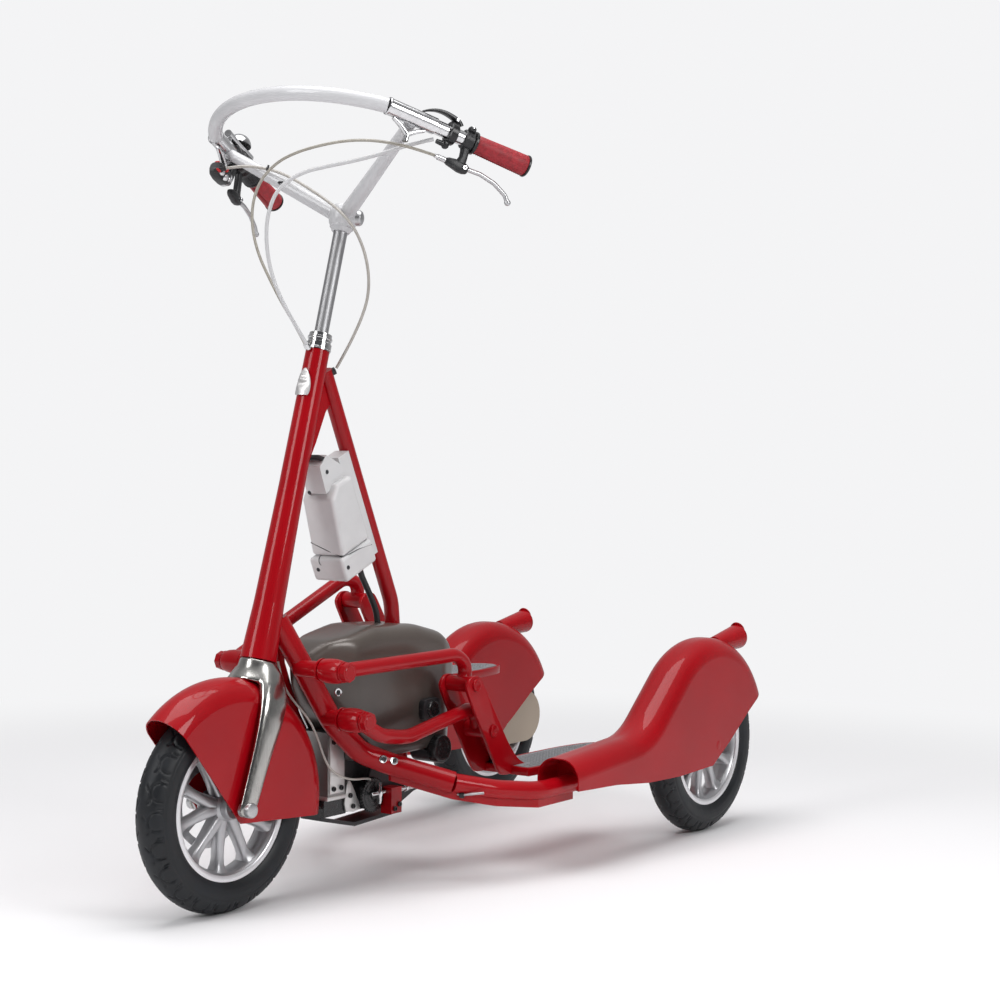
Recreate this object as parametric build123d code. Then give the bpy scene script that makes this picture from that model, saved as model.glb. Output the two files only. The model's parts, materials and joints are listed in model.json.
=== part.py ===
from build123d import *
import os
from math import cos, radians, sin, tan

os.makedirs("parts", exist_ok=True)

# Working frame: X forward, Y to the rider's left, Z up, ground point under the rear axle at zero.
# The finished pieces are moved so that the origin is the bottom centre of the bounding box.

# Wheels, tyre size 62-203
wheel_base = 983.6
half_track = 244.8
tyre_radius = 159
tyre_height = 50
tyre_half_width = 28
tyre_bead_half_width = 21
tyre_shoulder_drop = 12
tyre_shoulder_half_width = 23
tyre_flank_rise = 18
rim_depth = 16
rim_half_width = 20
spoke_bite = 2.5
hub_radius = 22
hub_half_width = 27
spoke_count = 5
spoke_split_deg = 15
spoke_width = 13
spoke_depth = 15
rotor_radius = 66
rotor_ring_width = 12
rotor_arm_width = 9
rotor_thickness = 2
axle_radius = 6
axle_reach = 39
running_clearance = 0.05
touch_gap = 0.3
overrun = 40
tiny = 0.01

# Steering axis
axis_trail = 26.9
axis_lean = 0.2813
wheel_steer_deg = -2.2
bar_steer_deg = -4.6
column_radius = 11.1
column_length = 700

# Fenders
fender_gap = 33
fender_wall = 2
fender_half_width = 41
fender_shoulder = 34
front_fender_lip_deg = 48.6
front_skirt_drop = 22
front_skirt_tail_drop = 36
rear_tip_deg = 153
rear_crest_turn_deg = 48
rear_fender_mouth_x = 455
rear_mouth_rise = 29
rear_mouth_fall_share = 0.077
rear_blank_extra_deg = 35
rear_crest_bend = 130
rear_skirt_front_drop = 21
# Lower edge of the rear skirts: back from the axle and up from it, of the crest radius
rear_skirt_shares = [(1.771, -0.135), (1.25, -0.188), (0.698, -0.203), (0.104, -0.182), (-0.208, 0.005), (-0.547, 0.24)]
horn_start_shares = (-0.27, 0.911)
horn_end_shares = (-0.729, 0.958)
horn_start_radius = 15
horn_end_radius = 23
horn_round = 6

# Head tube and fork
crown_gap = 1
crown_height = 19
head_tube_height = 474
head_tube_radius = 28
# Height share and radius share of each ring of the head tube, from the bottom up
head_tube_shares = [(0, 1), (0.177, 0.843), (0.555, 0.72), (1, 0.668)]
crown_skirt = 20
crown_skirt_radius = 43
fork_tongue = 29
fork_eye_radius = 13
fork_eye_inner_y = 45
fork_eye_outer_y = 59
axle_cap_radius = 10
axle_cap_length = 7
# Fork leg sections: forward of the steering axis, out, above the axle, width and thickness, of its length
fork_leg_length = 190
fork_leg_shares = [
    (0.00, 0.158, 1.00, 0.21, 0.147),
    (0.05, 0.232, 0.87, 0.20, 0.105),
    (0.042, 0.263, 0.674, 0.19, 0.079),
    (0.021, 0.274, 0.368, 0.147, 0.074),
    (0.026, 0.274, 0.068, 0.131, 0.068),
    (0.077, 0.274, -0.063, 0.12, 0.063),
]
headset_radius = 20
headset_groove_radius = 16.5
headset_top_radius = 18
headset_height = 26
headset_groove_shares = (0.42, 0.5)

# Chassis tubes, left side centre lines
down_tube_radius = 17.5
tube_head_rise = 59
tube_head_setback = 17.5
tube_head_y = 6
tube_foot_x = 636
tube_foot_inset = 76.8
tube_foot_rise = 6
# Places between the head of the tube and its foot: share of the way back, out and down
down_tube_shares = [(0.140, 0.148, 0.279), (0.364, 0.241, 0.619), (0.572, 0.333, 0.811), (0.733, 0.519, 0.887)]
down_tube_bends = [60, 120, 60, 45]
rail_radius = 15
rail_end_x = 400
rail_end_inset = 9.8
rail_end_drop = 19
rail_shares = [(0.258, 0.567, 0.6), (0.576, 1, 1)]
rail_bends = [120, 120]
band_depth = 27
band_half_thickness = 2.5
cross_tube_x = 560
cross_tube_drop = 12
cross_tube_radius = 12
stay_thickness = 5
stay_top_rise = 20
stay_bottom_drop = 32
stay_flange_out = 46
stay_flange_thickness = 6
stay_tail = 25

# Struts behind the head tube
strut_radius = 12.5
strut_top_drop = 30
strut_top_setback = 24
strut_knee_x = 588
strut_knee_z = 440
strut_bend = 80
web_half_thickness = 3
web_drop = 165
# Lower edge of the web: down from its top and back from the steering axis, of its height
web_shares = [(1, 0.12), (0.69, 0.206), (0.394, 0.261), (0.321, 0.303), (0.376, 0.364)]

# Pedal linkage, a parallelogram on each side
pivot_setback = 57.1
pivot_drop = 15
pivot_step_back = 48
pivot_step_down = 80
arm_reach = 313
arm_low_deg = 8.8
arm_high_deg = 14.4
pivot_boss_radius = 13
pivot_boss_end_y = 78
pivot_washer_length = 3
pivot_washer_radius = 18
pivot_cap_radius = 15
pivot_cap_length = 12
pivot_cap_sides = 8
arm_plane_y = 110
arm_radius = 11.5
hub_barrel_radius = 17
hub_barrel_inner = 28
hub_barrel_outer = 12
hub_barrel_round = 5
pin_radius = 6
# Arm centre lines, shares of the reach: along from the pivot, and above the line to the rear pin
upper_arm_shares = [(0.93, 0.148, 0.15), (1.04, 0.09, 0.07)]
lower_arm_shares = [(0.19, -0.066, 0.25), (0.40, -0.066, 0.4), (0.93, 0.113, 0.085)]
carrier_inner_y = 80
carrier_outer_y = 140
carrier_wall = 6
carrier_round = 11
eye_half_length = 23
eye_radius = 13
bolt_head_radius = 10
bolt_head_length = 4
# Side plate of the carrier from the lower rear pin, shares of the distance between the two pins
carrier_shares = [
    (0.314, 0.867), (0.4, 1.006), (0.678, 1.006), (0.786, 0.835), (0.185, -0.151), (-0.029, -0.43), (-0.297, -0.751),
    (-0.35, -0.858), (-1.455, -0.858), (-1.358, -0.762), (-0.983, -0.73), (-0.79, -0.612), (-0.597, -0.44),
    (-0.329, -0.087), (-0.136, 0.181),
]
pad_fender_gap = 25.8
pad_length = 312
pad_inner_y = 80
pad_setback = 52
pad_drop = 65
pad_rim_height = 13
pad_rim_width = 6
pad_recess = 5
pad_corner_round = 14
pad_shares = [(0, 0.06), (0, 0.94), (0.06, 1), (0.70, 1), (0.95, 0.84), (1, 0.62), (1, 0.38), (0.95, 0.16), (0.70, 0), (0.06, 0)]

# Handlebar
bar_mouth_setback = 202
bar_mouth_y = 192.8
bar_mouth_rise = 157.1
bar_run_back = 212.4
bar_run_out = 91.2
bar_run_down = 77.3
bar_radius = 11.1
sleeve_radius = 13
sleeve_length = 80
shifter_start = 102
shifter_length = 13
shifter_radius = 18
shifter_rise = 23
thumb_reach = 42
clamp_start = 128
clamp_length = 17
clamp_radius = 15
grip_start = 145
grip_flange_length = 5
grip_flange_radius = 18
grip_inner_radius = 14
grip_outer_radius = 16.5
grip_end_length = 5
grip_end_radius = 17.5
loop_radius = 11.5
loop_front_reach = 80
loop_front_rise = 28.9
stem_hub_radius = 19
stem_hub_height = 32
stem_arm_low_radius = 13
stem_arm_high_radius = 9
stem_arm_rise = 17
stem_arm_high_drop = 6
lug_share = 0.17
lever_drop = 42
lever_arm_width = 12
lever_box_lead = 16
lever_box_length = 38
lever_box_height = 20
lever_box_width = 18
lever_blade_radius = 3.6
lever_ball_radius = 5
lever_tip_reach = 79
lever_tip_drop = 23
lever_blade_shares = [(0.28, -0.05), (0.62, 0.15), (0.9, 0.6)]
lever_blade_bends = [20, 25, 12]
adjuster_radius = 4.5
adjuster_length = 19
bell_along = 84
bell_rise = 27
bell_foot_radius = 5
bell_barrel_radius = 6.5
bell_barrel_length = 90
bell_dome_radius = 20
control_start = 62
control_length = 14
control_radius = 18
throttle_start = 107
throttle_length = 37
throttle_radius = 19
right_clamp_start = 88
right_lever_drop = 62
nozzle_start = 86.3
nozzle_drop = 17
nozzle_radius = 4.5
control_box_start = 10
control_box_length = 44
control_box_height = 27
control_box_width = 27
control_box_drop = 50
control_neck = 16
feed_length = 12
feed_radius = 4

# Drive cover
cover_half_width = 60
cover_tail_x = 470
cover_length = 356
cover_height = 214
cover_bottom_drop = 79
cover_nose_half_width = 14
cover_taper_share = 0.76
cover_tail_half_share = 0.72
cover_tail_taper_share = 0.14
cover_side_round = 24
cover_outline_round = 28
cover_tube_gap = 3
# Side view from the tail and the bottom, clockwise, shares of length and height
cover_shares = [
    (0.09, -0.3), (0.05, 0.35), (0, 0.62), (0.045, 0.8), (0.12, 0.9), (0.3, 0.975), (0.62, 1), (0.88, 0.91),
    (0.975, 0.8), (1, 0.62), (0.93, 0.43), (0.77, 0.15), (0.77, -0.3),
]
stop_x = 540
stop_radius = 23
stop_inner_y = 20
stop_end_y = 72
guide_x = 566
guide_rise = 69
guide_radius = 12
guide_end_y = 70

# Battery, on the rear strut
battery_strut_z = 580
battery_standoff = 27.5
battery_depth = 72
battery_height = 111
battery_half_width = 33
battery_sink = 15
battery_round = 7
battery_shares = [(0, 0), (1, 0), (0.806, 0.847), (0.528, 1), (0, 1)]
dock_half_width = 14
dock_low = 55
dock_high = 125
cup_depth = 80
cup_height = 40
cup_half_width = 35
cup_round = 6
bracket_depth = 55
bracket_height = 53
bracket_half_width = 20
bracket_shares = [(0, 0), (1, -0.15), (0.945, 0.698), (0.545, 0.906), (0.09, 0.38)]
battery_cable_radius = 5
battery_cable_depth = 50
battery_cable_foot_x = 622
battery_cable_shares = [(0.22, 0.24), (0.62, 0.54), (0.89, 0.77)]
battery_cable_bends = [60, 70, 70]

# Drive unit under the cover
motor_setback = 22
motor_top_drop = 29
motor_length = 41
motor_height = 107
motor_half_width = 30
motor_base_height = 26
motor_base_length = 52
motor_base_half_width = 27
gear_x = 683
gear_drop = 21
gear_radius = 24
gear_half_width = 32
gear_pin_half_length = 42
guard_thickness = 6
guard_half_width = 22
guard_drop = 14
guard_length = 190
guard_shares = [(0, 0), (0.42, -1.4), (1, -1)]
hanger_half_width = 38
hanger_wall = 5
hanger_length = 146
hanger_height = 119
hanger_drop = 54
hanger_shares = [
    (-0.1, 0.34), (0.1, 0.3), (0.45, 0.12), (0.8, 0.18), (0.98, 0.28), (1, 0.5), (0.88, 0.62), (0.74, 1), (0.55, 1),
    (0.5, 0.62), (0.1, 0.58), (-0.1, 0.5),
]
block_front_x = 658
block_length = 26
block_height = 42
block_inner_y = 38
block_outer_y = 60
case_back_x = -88
case_front_x = -16
case_radius = 50
case_thickness = 5.2

# Cables, rest routes
brake_cable_radius = 2.3
shift_cable_radius = 3
control_cable_radius = 2.4
grommet_radius = 6
grommet_length = 8
grommet_gap = 4
cable_stop_radius = 3.8
cable_stop_length = 9
cable_arc_share = 0.45
brake_cable_route = [
    (757, 218, 1135), (781, 199, 1144), (802, 167, 1153), (812, 128, 1159), (822, 89, 1159), (831, 50, 1154),
    (836, 11, 1147), (838, -27, 1135), (845, -56, 1109), (852, -67, 1071), (851, -67, 1031), (844, -60, 992),
    (832, -48, 956), (820, -34, 920), (807, -18, 886), (794, -8, 856),
]
shift_cable_route = [
    (758, 217, 1159), (775, 187, 1152), (795, 150, 1139), (812, 109, 1129), (830, 70, 1122), (848, 31, 1113),
    (863, -4, 1090), (869, -19, 1050), (866, -24, 1006), (858, -21, 962), (843, -13, 921), (819, -6, 884),
    (799, 0, 855),
]
control_cable_route = [
    (790, -183, 1143), (774, -163, 1147), (757, -141, 1145), (745, -113, 1138), (741, -82, 1124), (742, -49, 1107),
    (741, -16, 1088), (740, 16, 1067), (735, 42, 1039), (729, 57, 1005), (723, 62, 969), (720, 59, 932),
    (726, 50, 897), (731, 35, 865), (735, 22, 841), (742, 12, 819),
]

wheel_z = tyre_radius
rim_radius = tyre_radius - tyre_height
fender_crest_radius = tyre_radius + fender_gap
front_trim_margin = fender_shoulder
axis_ground_x = wheel_base + axis_trail
fork_crown_z = wheel_z + fender_crest_radius + crown_gap
head_tube_bottom_z = fork_crown_z + crown_height
head_tube_top_z = head_tube_bottom_z + head_tube_height
column_foot_z = head_tube_bottom_z - fork_tongue
column_top_z = column_foot_z + column_length


def axis_x(z):
    return axis_ground_x - axis_lean * z


def axis_point(z):
    return Vector(axis_x(z), 0, z)


steering_axis = Axis((axis_ground_x, 0, 0), (-axis_lean, 0, 1))


def between(start, end, shares):
    """Return the points at shares of the way from start to end, each axis by itself."""
    return [
        tuple(low + share * (high - low) for low, high, share in zip(start, end, row))
        for row in shares
    ]


def outline_at(x, z, length, height, shares):
    """Return a closed side view outline from shares of a length and a height."""
    return Polyline(*[(x + along * length, z + up * height) for along, up in shares], close=True)


def rod(start, end, start_radius, end_radius=None):
    """Return a round bar or a cone between two points."""
    start = Vector(*start)
    run = Vector(*end) - start
    plane = Plane(origin=start, z_dir=run.normalized())
    if end_radius is None or end_radius == start_radius:
        return Solid.make_cylinder(start_radius, run.length, plane)
    return Solid.make_cone(start_radius, end_radius, run.length, plane)


def cross_bar(x, z, from_y, to_y, radius):
    """Return a round bar that lies across the machine."""
    return rod((x, from_y, z), (x, to_y, z), radius)


def bent_bar(points, bend_radii, radius):
    """Return a round bar of straight runs joined by tangent arcs."""
    path = FilletPolyline(*points, radius=bend_radii)
    section = Plane(origin=path @ 0, z_dir=path % 0) * Circle(radius)
    return sweep(section, path=path)


def side_prism(outline, from_y, to_y):
    """Return the prism of a side view outline between two cross positions."""
    face = Plane(origin=(0, from_y, 0), x_dir=(1, 0, 0), z_dir=(0, -1, 0)) * make_face(outline)
    return extrude(face, amount=from_y - to_y)


def block(low_corner, high_corner):
    """Return the box between two corners."""
    low = Vector(*low_corner)
    size = Vector(*high_corner) - low
    middle = low + size / 2
    return Pos(middle.X, middle.Y, middle.Z) * Box(size.X, size.Y, size.Z)


def mirrored(shape):
    return shape.mirror(Plane.XZ)


def pair(shape):
    """Return the piece and its mirror image as two bodies."""
    return Compound([*shape.solids(), *mirrored(shape).solids()])


def along_axis(z_from, z_to, radius_from, radius_to=None):
    return rod(axis_point(z_from), axis_point(z_to), radius_from, radius_to)


def steer(shape, deg):
    return shape.rotate(steering_axis, deg)


def tyre():
    bead = tyre_bead_half_width
    shoulder = tyre_shoulder_half_width
    shoulder_radius = tyre_radius - tyre_shoulder_drop
    flank_radius = rim_radius + tyre_flank_rise
    outline = [
        Line((rim_radius, -bead), (rim_radius, bead)),
        ThreePointArc((rim_radius, bead), (flank_radius, tyre_half_width), (shoulder_radius, shoulder)),
        ThreePointArc((shoulder_radius, shoulder), (tyre_radius, 0), (shoulder_radius, -shoulder)),
        ThreePointArc((shoulder_radius, -shoulder), (flank_radius, -tyre_half_width), (rim_radius, -bead)),
    ]
    return revolve(Plane.XY * make_face(outline), Axis.Y)


def radial_bar(inner_radius, outer_radius, inner_deg, outer_deg, width, depth):
    """Return a flat sided bar in the wheel's plane, from one radius to another."""
    inner = Vector(inner_radius, 0, 0).rotate(Axis.Y, inner_deg)
    outer = Vector(outer_radius, 0, 0).rotate(Axis.Y, outer_deg)
    plane = Plane(origin=inner, x_dir=(0, 1, 0), z_dir=(outer - inner).normalized())
    return extrude(plane * Rectangle(depth, width), amount=(outer - inner).length)


def ring(inner_radius, outer_radius, from_y, to_y):
    outline = Polyline(
        (inner_radius, from_y), (outer_radius, from_y), (outer_radius, to_y), (inner_radius, to_y), close=True
    )
    return revolve(Plane.XY * make_face(outline), Axis.Y)


def cast_wheel():
    rim_inner = rim_radius - rim_depth
    body = ring(rim_inner, rim_radius, -rim_half_width, rim_half_width)
    body += cross_bar(0, 0, -hub_half_width, hub_half_width, hub_radius)
    for number in range(spoke_count):
        spoke_deg = number * 360 / spoke_count
        for side in (-1, 1):
            end_deg = spoke_deg + side * spoke_split_deg
            body += radial_bar(hub_radius / 2, rim_inner + spoke_bite, spoke_deg, end_deg, spoke_width, spoke_depth)
    return body - cross_bar(0, 0, -hub_half_width, hub_half_width, axle_radius + running_clearance)


def brake_rotor():
    """Return the disc on the right end of the front hub."""
    inner_y = -hub_half_width - rotor_thickness
    ring_inner = rotor_radius - rotor_ring_width
    body = ring(ring_inner, rotor_radius, inner_y, -hub_half_width)
    body += ring(hub_radius / 2, hub_radius, inner_y, -hub_half_width)
    for number in range(spoke_count):
        arm_deg = (number + 0.5) * 360 / spoke_count
        arm = radial_bar(
            hub_radius - spoke_bite, ring_inner + spoke_bite, arm_deg, arm_deg, rotor_arm_width, rotor_thickness
        )
        body += Pos(0, inner_y + rotor_thickness / 2, 0) * arm
    return body


def fender_section(inset):
    """Return the round topped fender section, seen along the rolling direction."""
    half = fender_half_width - inset
    shoulder = fender_crest_radius - fender_shoulder
    return make_face([
        Line((0, -half), (shoulder, -half)),
        ThreePointArc((shoulder, -half), (fender_crest_radius - inset, 0), (shoulder, half)),
        Line((shoulder, half), (0, half)),
        Line((0, half), (0, -half)),
    ])


def fender_core(inset):
    return revolve(Plane.XY * fender_section(inset), Axis.Y)


def front_fender():
    lip = radians(front_fender_lip_deg)
    reach = fender_crest_radius + front_trim_margin
    lip_point = (reach * cos(lip), reach * sin(lip))
    tip = (0, -front_skirt_drop)
    tail = (-reach, -front_skirt_tail_drop)
    trim = make_face([
        Line(tip, lip_point),
        ThreePointArc(lip_point, (-reach * sin(lip), reach * cos(lip)), tail),
        Line(tail, tip),
    ])
    face = Plane(origin=(0, reach, 0), x_dir=(1, 0, 0), z_dir=(0, -1, 0)) * trim
    return (fender_core(0) - fender_core(fender_wall)) & extrude(face, amount=2 * reach)


def crest_blank(inset):
    """Return the filled rear fender, before its skirts are trimmed."""
    radius = fender_crest_radius - inset
    half = fender_half_width - inset
    turn = radians(rear_crest_turn_deg)
    leave = Vector(radius * cos(turn), wheel_z + radius * sin(turn))
    slope = -cos(turn) / sin(turn)
    mouth_slope = -rear_mouth_fall_share
    front_x = rear_fender_mouth_x + front_trim_margin
    mouth_z = wheel_z + rear_mouth_rise - inset
    corner_x = (mouth_z - leave.Y + slope * leave.X - mouth_slope * rear_fender_mouth_x) / (slope - mouth_slope)
    corner = (corner_x, leave.Y + slope * (corner_x - leave.X))
    front = (front_x, mouth_z + mouth_slope * (front_x - rear_fender_mouth_x))
    back_deg = 180 + rear_blank_extra_deg
    back = (radius * cos(radians(back_deg)), wheel_z + radius * sin(radians(back_deg)))
    face = make_face([
        CenterArc((0, wheel_z), radius, rear_crest_turn_deg, back_deg - rear_crest_turn_deg),
        Polyline(back, (front_x, back[1]), front, corner, (leave.X, leave.Y)),
    ])
    bend = face.vertices().sort_by_distance(Vector(*corner))[0]
    face = fillet(bend, rear_crest_bend + inset)
    blank = extrude(Plane(origin=(0, half, 0), x_dir=(1, 0, 0), z_dir=(0, -1, 0)) * face, amount=2 * half)
    crest = [edge for edge in blank.edges() if side_edge(edge, back[1])]
    return fillet(crest, fender_shoulder - inset)


def side_edge(edge, low):
    """Tell whether an edge bounds a side face above the given height."""
    box = edge.bounding_box()
    return box.size.Y < tiny and box.max.Z > low + tiny and box.size.X > tiny


def rear_fender():
    shell = crest_blank(0) - crest_blank(fender_wall)
    radius = fender_crest_radius
    skirt = [(along * radius, wheel_z + up * radius) for along, up in rear_skirt_shares]
    mouth_low = (rear_fender_mouth_x, wheel_z - rear_skirt_front_drop)
    tip = (radius * cos(radians(rear_tip_deg)), wheel_z + radius * sin(radians(rear_tip_deg)))
    top_z = wheel_z + radius + overrun
    back = (-radius - overrun, top_z)
    front = (rear_fender_mouth_x, top_z)
    trim = make_face(Polyline(mouth_low, *skirt, tip, back, front, close=True))
    face = Plane(origin=(0, radius, 0), x_dir=(1, 0, 0), z_dir=(0, -1, 0)) * trim
    return Pos(0, half_track, 0) * (shell & extrude(face, amount=2 * radius))


def tail_horn():
    """Return the round lamp horn on top of the left rear fender."""
    start_x, start_z = horn_start_shares
    end_x, end_z = horn_end_shares
    start = (start_x * fender_crest_radius, half_track, wheel_z + start_z * fender_crest_radius)
    end = (end_x * fender_crest_radius, half_track, wheel_z + end_z * fender_crest_radius)
    body = rod(start, end, horn_start_radius, horn_end_radius)
    rear_edge = body.edges().filter_by(GeomType.CIRCLE).sort_by(Axis.X)[0]
    return fillet(rear_edge, horn_round) - Pos(0, half_track, 0) * crest_blank(0)


def head_tube_outer():
    rings = [(head_tube_bottom_z + up * head_tube_height, size * head_tube_radius) for up, size in head_tube_shares]
    body = None
    for (low_z, low_radius), (high_z, high_radius) in zip(rings, rings[1:]):
        cone = along_axis(low_z, high_z, low_radius, high_radius)
        body = cone if body is None else body + cone
    return body


def head_tube():
    bore = column_radius + running_clearance
    return head_tube_outer() - along_axis(head_tube_bottom_z - overrun, head_tube_top_z + overrun, bore)


tube_head = (
    axis_x(head_tube_bottom_z + tube_head_rise) - tube_head_setback,
    tube_head_y,
    head_tube_bottom_z + tube_head_rise,
)
tube_foot = (tube_foot_x, half_track - tube_foot_inset, wheel_z + tube_foot_rise)
rail_end = (rail_end_x, half_track - rail_end_inset, wheel_z - rail_end_drop)
tube_points = [tube_head, *between(tube_head, tube_foot, down_tube_shares), tube_foot]
rail_points = [tube_foot, *between(tube_foot, rail_end, rail_shares), rail_end]


def down_tube(gap):
    return bent_bar(tube_points, down_tube_bends, down_tube_radius + gap)


def skirt_band():
    """Return the flat band under the left rail, as high as the rail's middle."""
    line = [tube_points[-2], *rail_points]
    near = [(x, y - band_half_thickness) for x, y, z in line]
    far = [(x, y + band_half_thickness) for x, y, z in reversed(line)]
    plan = extrude(make_face(Polyline(*near, *far, close=True)), amount=tube_points[-2][2] + overrun)
    top = [(x, z) for x, y, z in line]
    low = [(x, z - band_depth) for x, y, z in reversed(line)]
    return plan & side_prism(Polyline(*top, *low, close=True), half_track, 0)


def rear_stay():
    """Return the plate inside the left fender, from the rail's end to the axle."""
    inner_y = half_track - fender_half_width + fender_wall
    bottom = wheel_z - stay_bottom_drop
    height = stay_top_rise + stay_bottom_drop
    outline = Polyline(
        (rail_end_x, bottom),
        (rail_end_x, bottom + height),
        (0, bottom + height),
        (-stay_tail, bottom + height / 2 + stay_thickness),
        (-stay_tail, bottom + height / 2 - stay_thickness),
        (0, bottom),
        close=True,
    )
    plate = side_prism(outline, inner_y + stay_thickness, inner_y)
    plate += block(
        (rail_end_x - stay_flange_thickness, inner_y, bottom),
        (rail_end_x, inner_y + stay_flange_out, bottom + height),
    )
    plate = plate & (Pos(0, half_track, 0) * crest_blank(fender_wall))
    return plate - cross_bar(0, wheel_z, inner_y - overrun, half_track, axle_radius)


strut_top = (axis_x(head_tube_top_z - strut_top_drop) - strut_top_setback, 0, head_tube_top_z - strut_top_drop)
strut_foot = (cross_tube_x, 0, wheel_z - cross_tube_drop)


def strut_place(z):
    """Return the centre of the straight part of the rear strut at a height."""
    x = strut_knee_x + (strut_top[0] - strut_knee_x) * (z - strut_knee_z) / (strut_top[2] - strut_knee_z)
    return Vector(x, 0, z)


def rear_strut():
    bar = bent_bar([strut_top, (strut_knee_x, 0, strut_knee_z), strut_foot], [strut_bend], strut_radius)
    high = head_tube_top_z - strut_top_drop
    edge = [(high - down * web_drop, back * web_drop) for down, back in web_shares]
    outline = Polyline(
        (axis_x(high), high),
        (axis_x(edge[0][0]), edge[0][0]),
        *[(axis_x(z) - back, z) for z, back in edge],
        (strut_place(edge[-1][0]).X, edge[-1][0]),
        (strut_place(high).X, high),
        close=True,
    )
    web = side_prism(outline, web_half_thickness, -web_half_thickness)
    return bar + web - head_tube_outer() - cross_bar(cross_tube_x, strut_foot[2], -overrun, overrun, cross_tube_radius)


pivot_upper = (axis_x(head_tube_bottom_z) - pivot_setback, head_tube_bottom_z - pivot_drop)
pivot_lower = (pivot_upper[0] - pivot_step_back, pivot_upper[1] - pivot_step_down)
pin_gap = (pivot_step_back**2 + pivot_step_down**2) ** 0.5


def pivot_stub(place, start_y):
    """Return one fixed pivot on the left: its boss, washer, pin and end cap."""
    x, z = place
    barrel_end = arm_plane_y + hub_barrel_outer
    cap_start = barrel_end + touch_gap
    stub = cross_bar(x, z, start_y, pivot_boss_end_y, pivot_boss_radius)
    stub += cross_bar(x, z, pivot_boss_end_y, pivot_boss_end_y + pivot_washer_length, pivot_washer_radius)
    stub += cross_bar(x, z, start_y, cap_start + pivot_cap_length, pin_radius)
    cap_plane = Plane(origin=(x, cap_start, z), x_dir=(1, 0, 0), z_dir=(0, 1, 0))
    stub += extrude(cap_plane * RegularPolygon(pivot_cap_radius, pivot_cap_sides), amount=pivot_cap_length)
    return stub


def arm_end(pivot, deg):
    return (pivot[0] - arm_reach * cos(radians(deg)), pivot[1] - arm_reach * sin(radians(deg)))


def arm(pivot, deg, shares):
    """Return one linkage arm on the left, from its pivot barrel to its rear eye."""
    rear = arm_end(pivot, deg)
    turn = radians(deg)
    points = [(pivot[0], arm_plane_y, pivot[1])]
    for along, rise, bend in shares:
        x = pivot[0] - arm_reach * (along * cos(turn) + rise * sin(turn))
        z = pivot[1] - arm_reach * (along * sin(turn) - rise * cos(turn))
        points.append((x, arm_plane_y, z))
    points.append((rear[0], arm_plane_y, rear[1]))
    bends = [bend * arm_reach for along, rise, bend in shares]
    body = bent_bar(points, bends, arm_radius)
    barrel = cross_bar(*pivot, arm_plane_y - hub_barrel_inner, arm_plane_y + hub_barrel_outer, hub_barrel_radius)
    body += fillet(barrel.edges().filter_by(GeomType.CIRCLE), hub_barrel_round)
    body += cross_bar(*rear, arm_plane_y - eye_half_length, arm_plane_y + eye_half_length, eye_radius)
    hole = pin_radius + running_clearance
    body -= cross_bar(*pivot, arm_plane_y - overrun, arm_plane_y + overrun, hole)
    body -= cross_bar(*rear, arm_plane_y - overrun, arm_plane_y + overrun, hole)
    return body


low_upper = arm_end(pivot_upper, arm_low_deg)
low_lower = arm_end(pivot_lower, arm_low_deg)
high_upper = arm_end(pivot_upper, -arm_high_deg)
pedal_lift = Pos(high_upper[0] - low_upper[0], 0, high_upper[1] - low_upper[1])
pad_front_x = low_lower[0] - pad_setback
pad_outer_y = half_track - fender_half_width - pad_fender_gap
pad_top_z = low_lower[1] - pad_drop


def pad_plan(inset):
    """Return the plan view face of the foot pad, drawn in from its edge."""
    width = pad_outer_y - pad_inner_y
    points = [(pad_front_x - along * pad_length, pad_inner_y + out * width) for along, out in pad_shares]
    face = make_face(Polyline(*points, close=True))
    if inset == 0:
        return face
    return offset(face, amount=-inset, kind=Kind.INTERSECTION)


def carrier():
    """Return the left pedal bracket: two plates, their pins and the foot tray."""
    outline = outline_at(*low_lower, pin_gap, pin_gap, carrier_shares)
    face = make_face(outline)
    top = face.vertices().sort_by(Axis.Y)[-2:]
    face = fillet(top, carrier_round)
    body = None
    for outer in (carrier_inner_y + carrier_wall, carrier_outer_y):
        plate = Plane(origin=(0, outer, 0), x_dir=(1, 0, 0), z_dir=(0, -1, 0)) * face
        plate = extrude(plate, amount=carrier_wall)
        body = plate if body is None else body + plate
    rim_top = pad_top_z - touch_gap
    body += Pos(0, 0, rim_top - pad_rim_height) * extrude(pad_plan(0), amount=pad_rim_height)
    body -= Pos(0, 0, rim_top - pad_recess) * extrude(pad_plan(pad_rim_width), amount=pad_recess + overrun)
    for pivot in (low_upper, low_lower):
        body += cross_bar(*pivot, carrier_inner_y, carrier_outer_y + bolt_head_length, pin_radius)
        body += cross_bar(*pivot, carrier_outer_y, carrier_outer_y + bolt_head_length, bolt_head_radius)
    return body


def tread():
    floor_z = pad_top_z - touch_gap - pad_recess
    inset = pad_rim_width + touch_gap
    return Pos(0, 0, floor_z) * extrude(pad_plan(inset), amount=pad_top_z - floor_z)


nodes = {}


def keep(name, shape):
    nodes[name] = shape


front_centre = Pos(wheel_base, 0, wheel_z)

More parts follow.
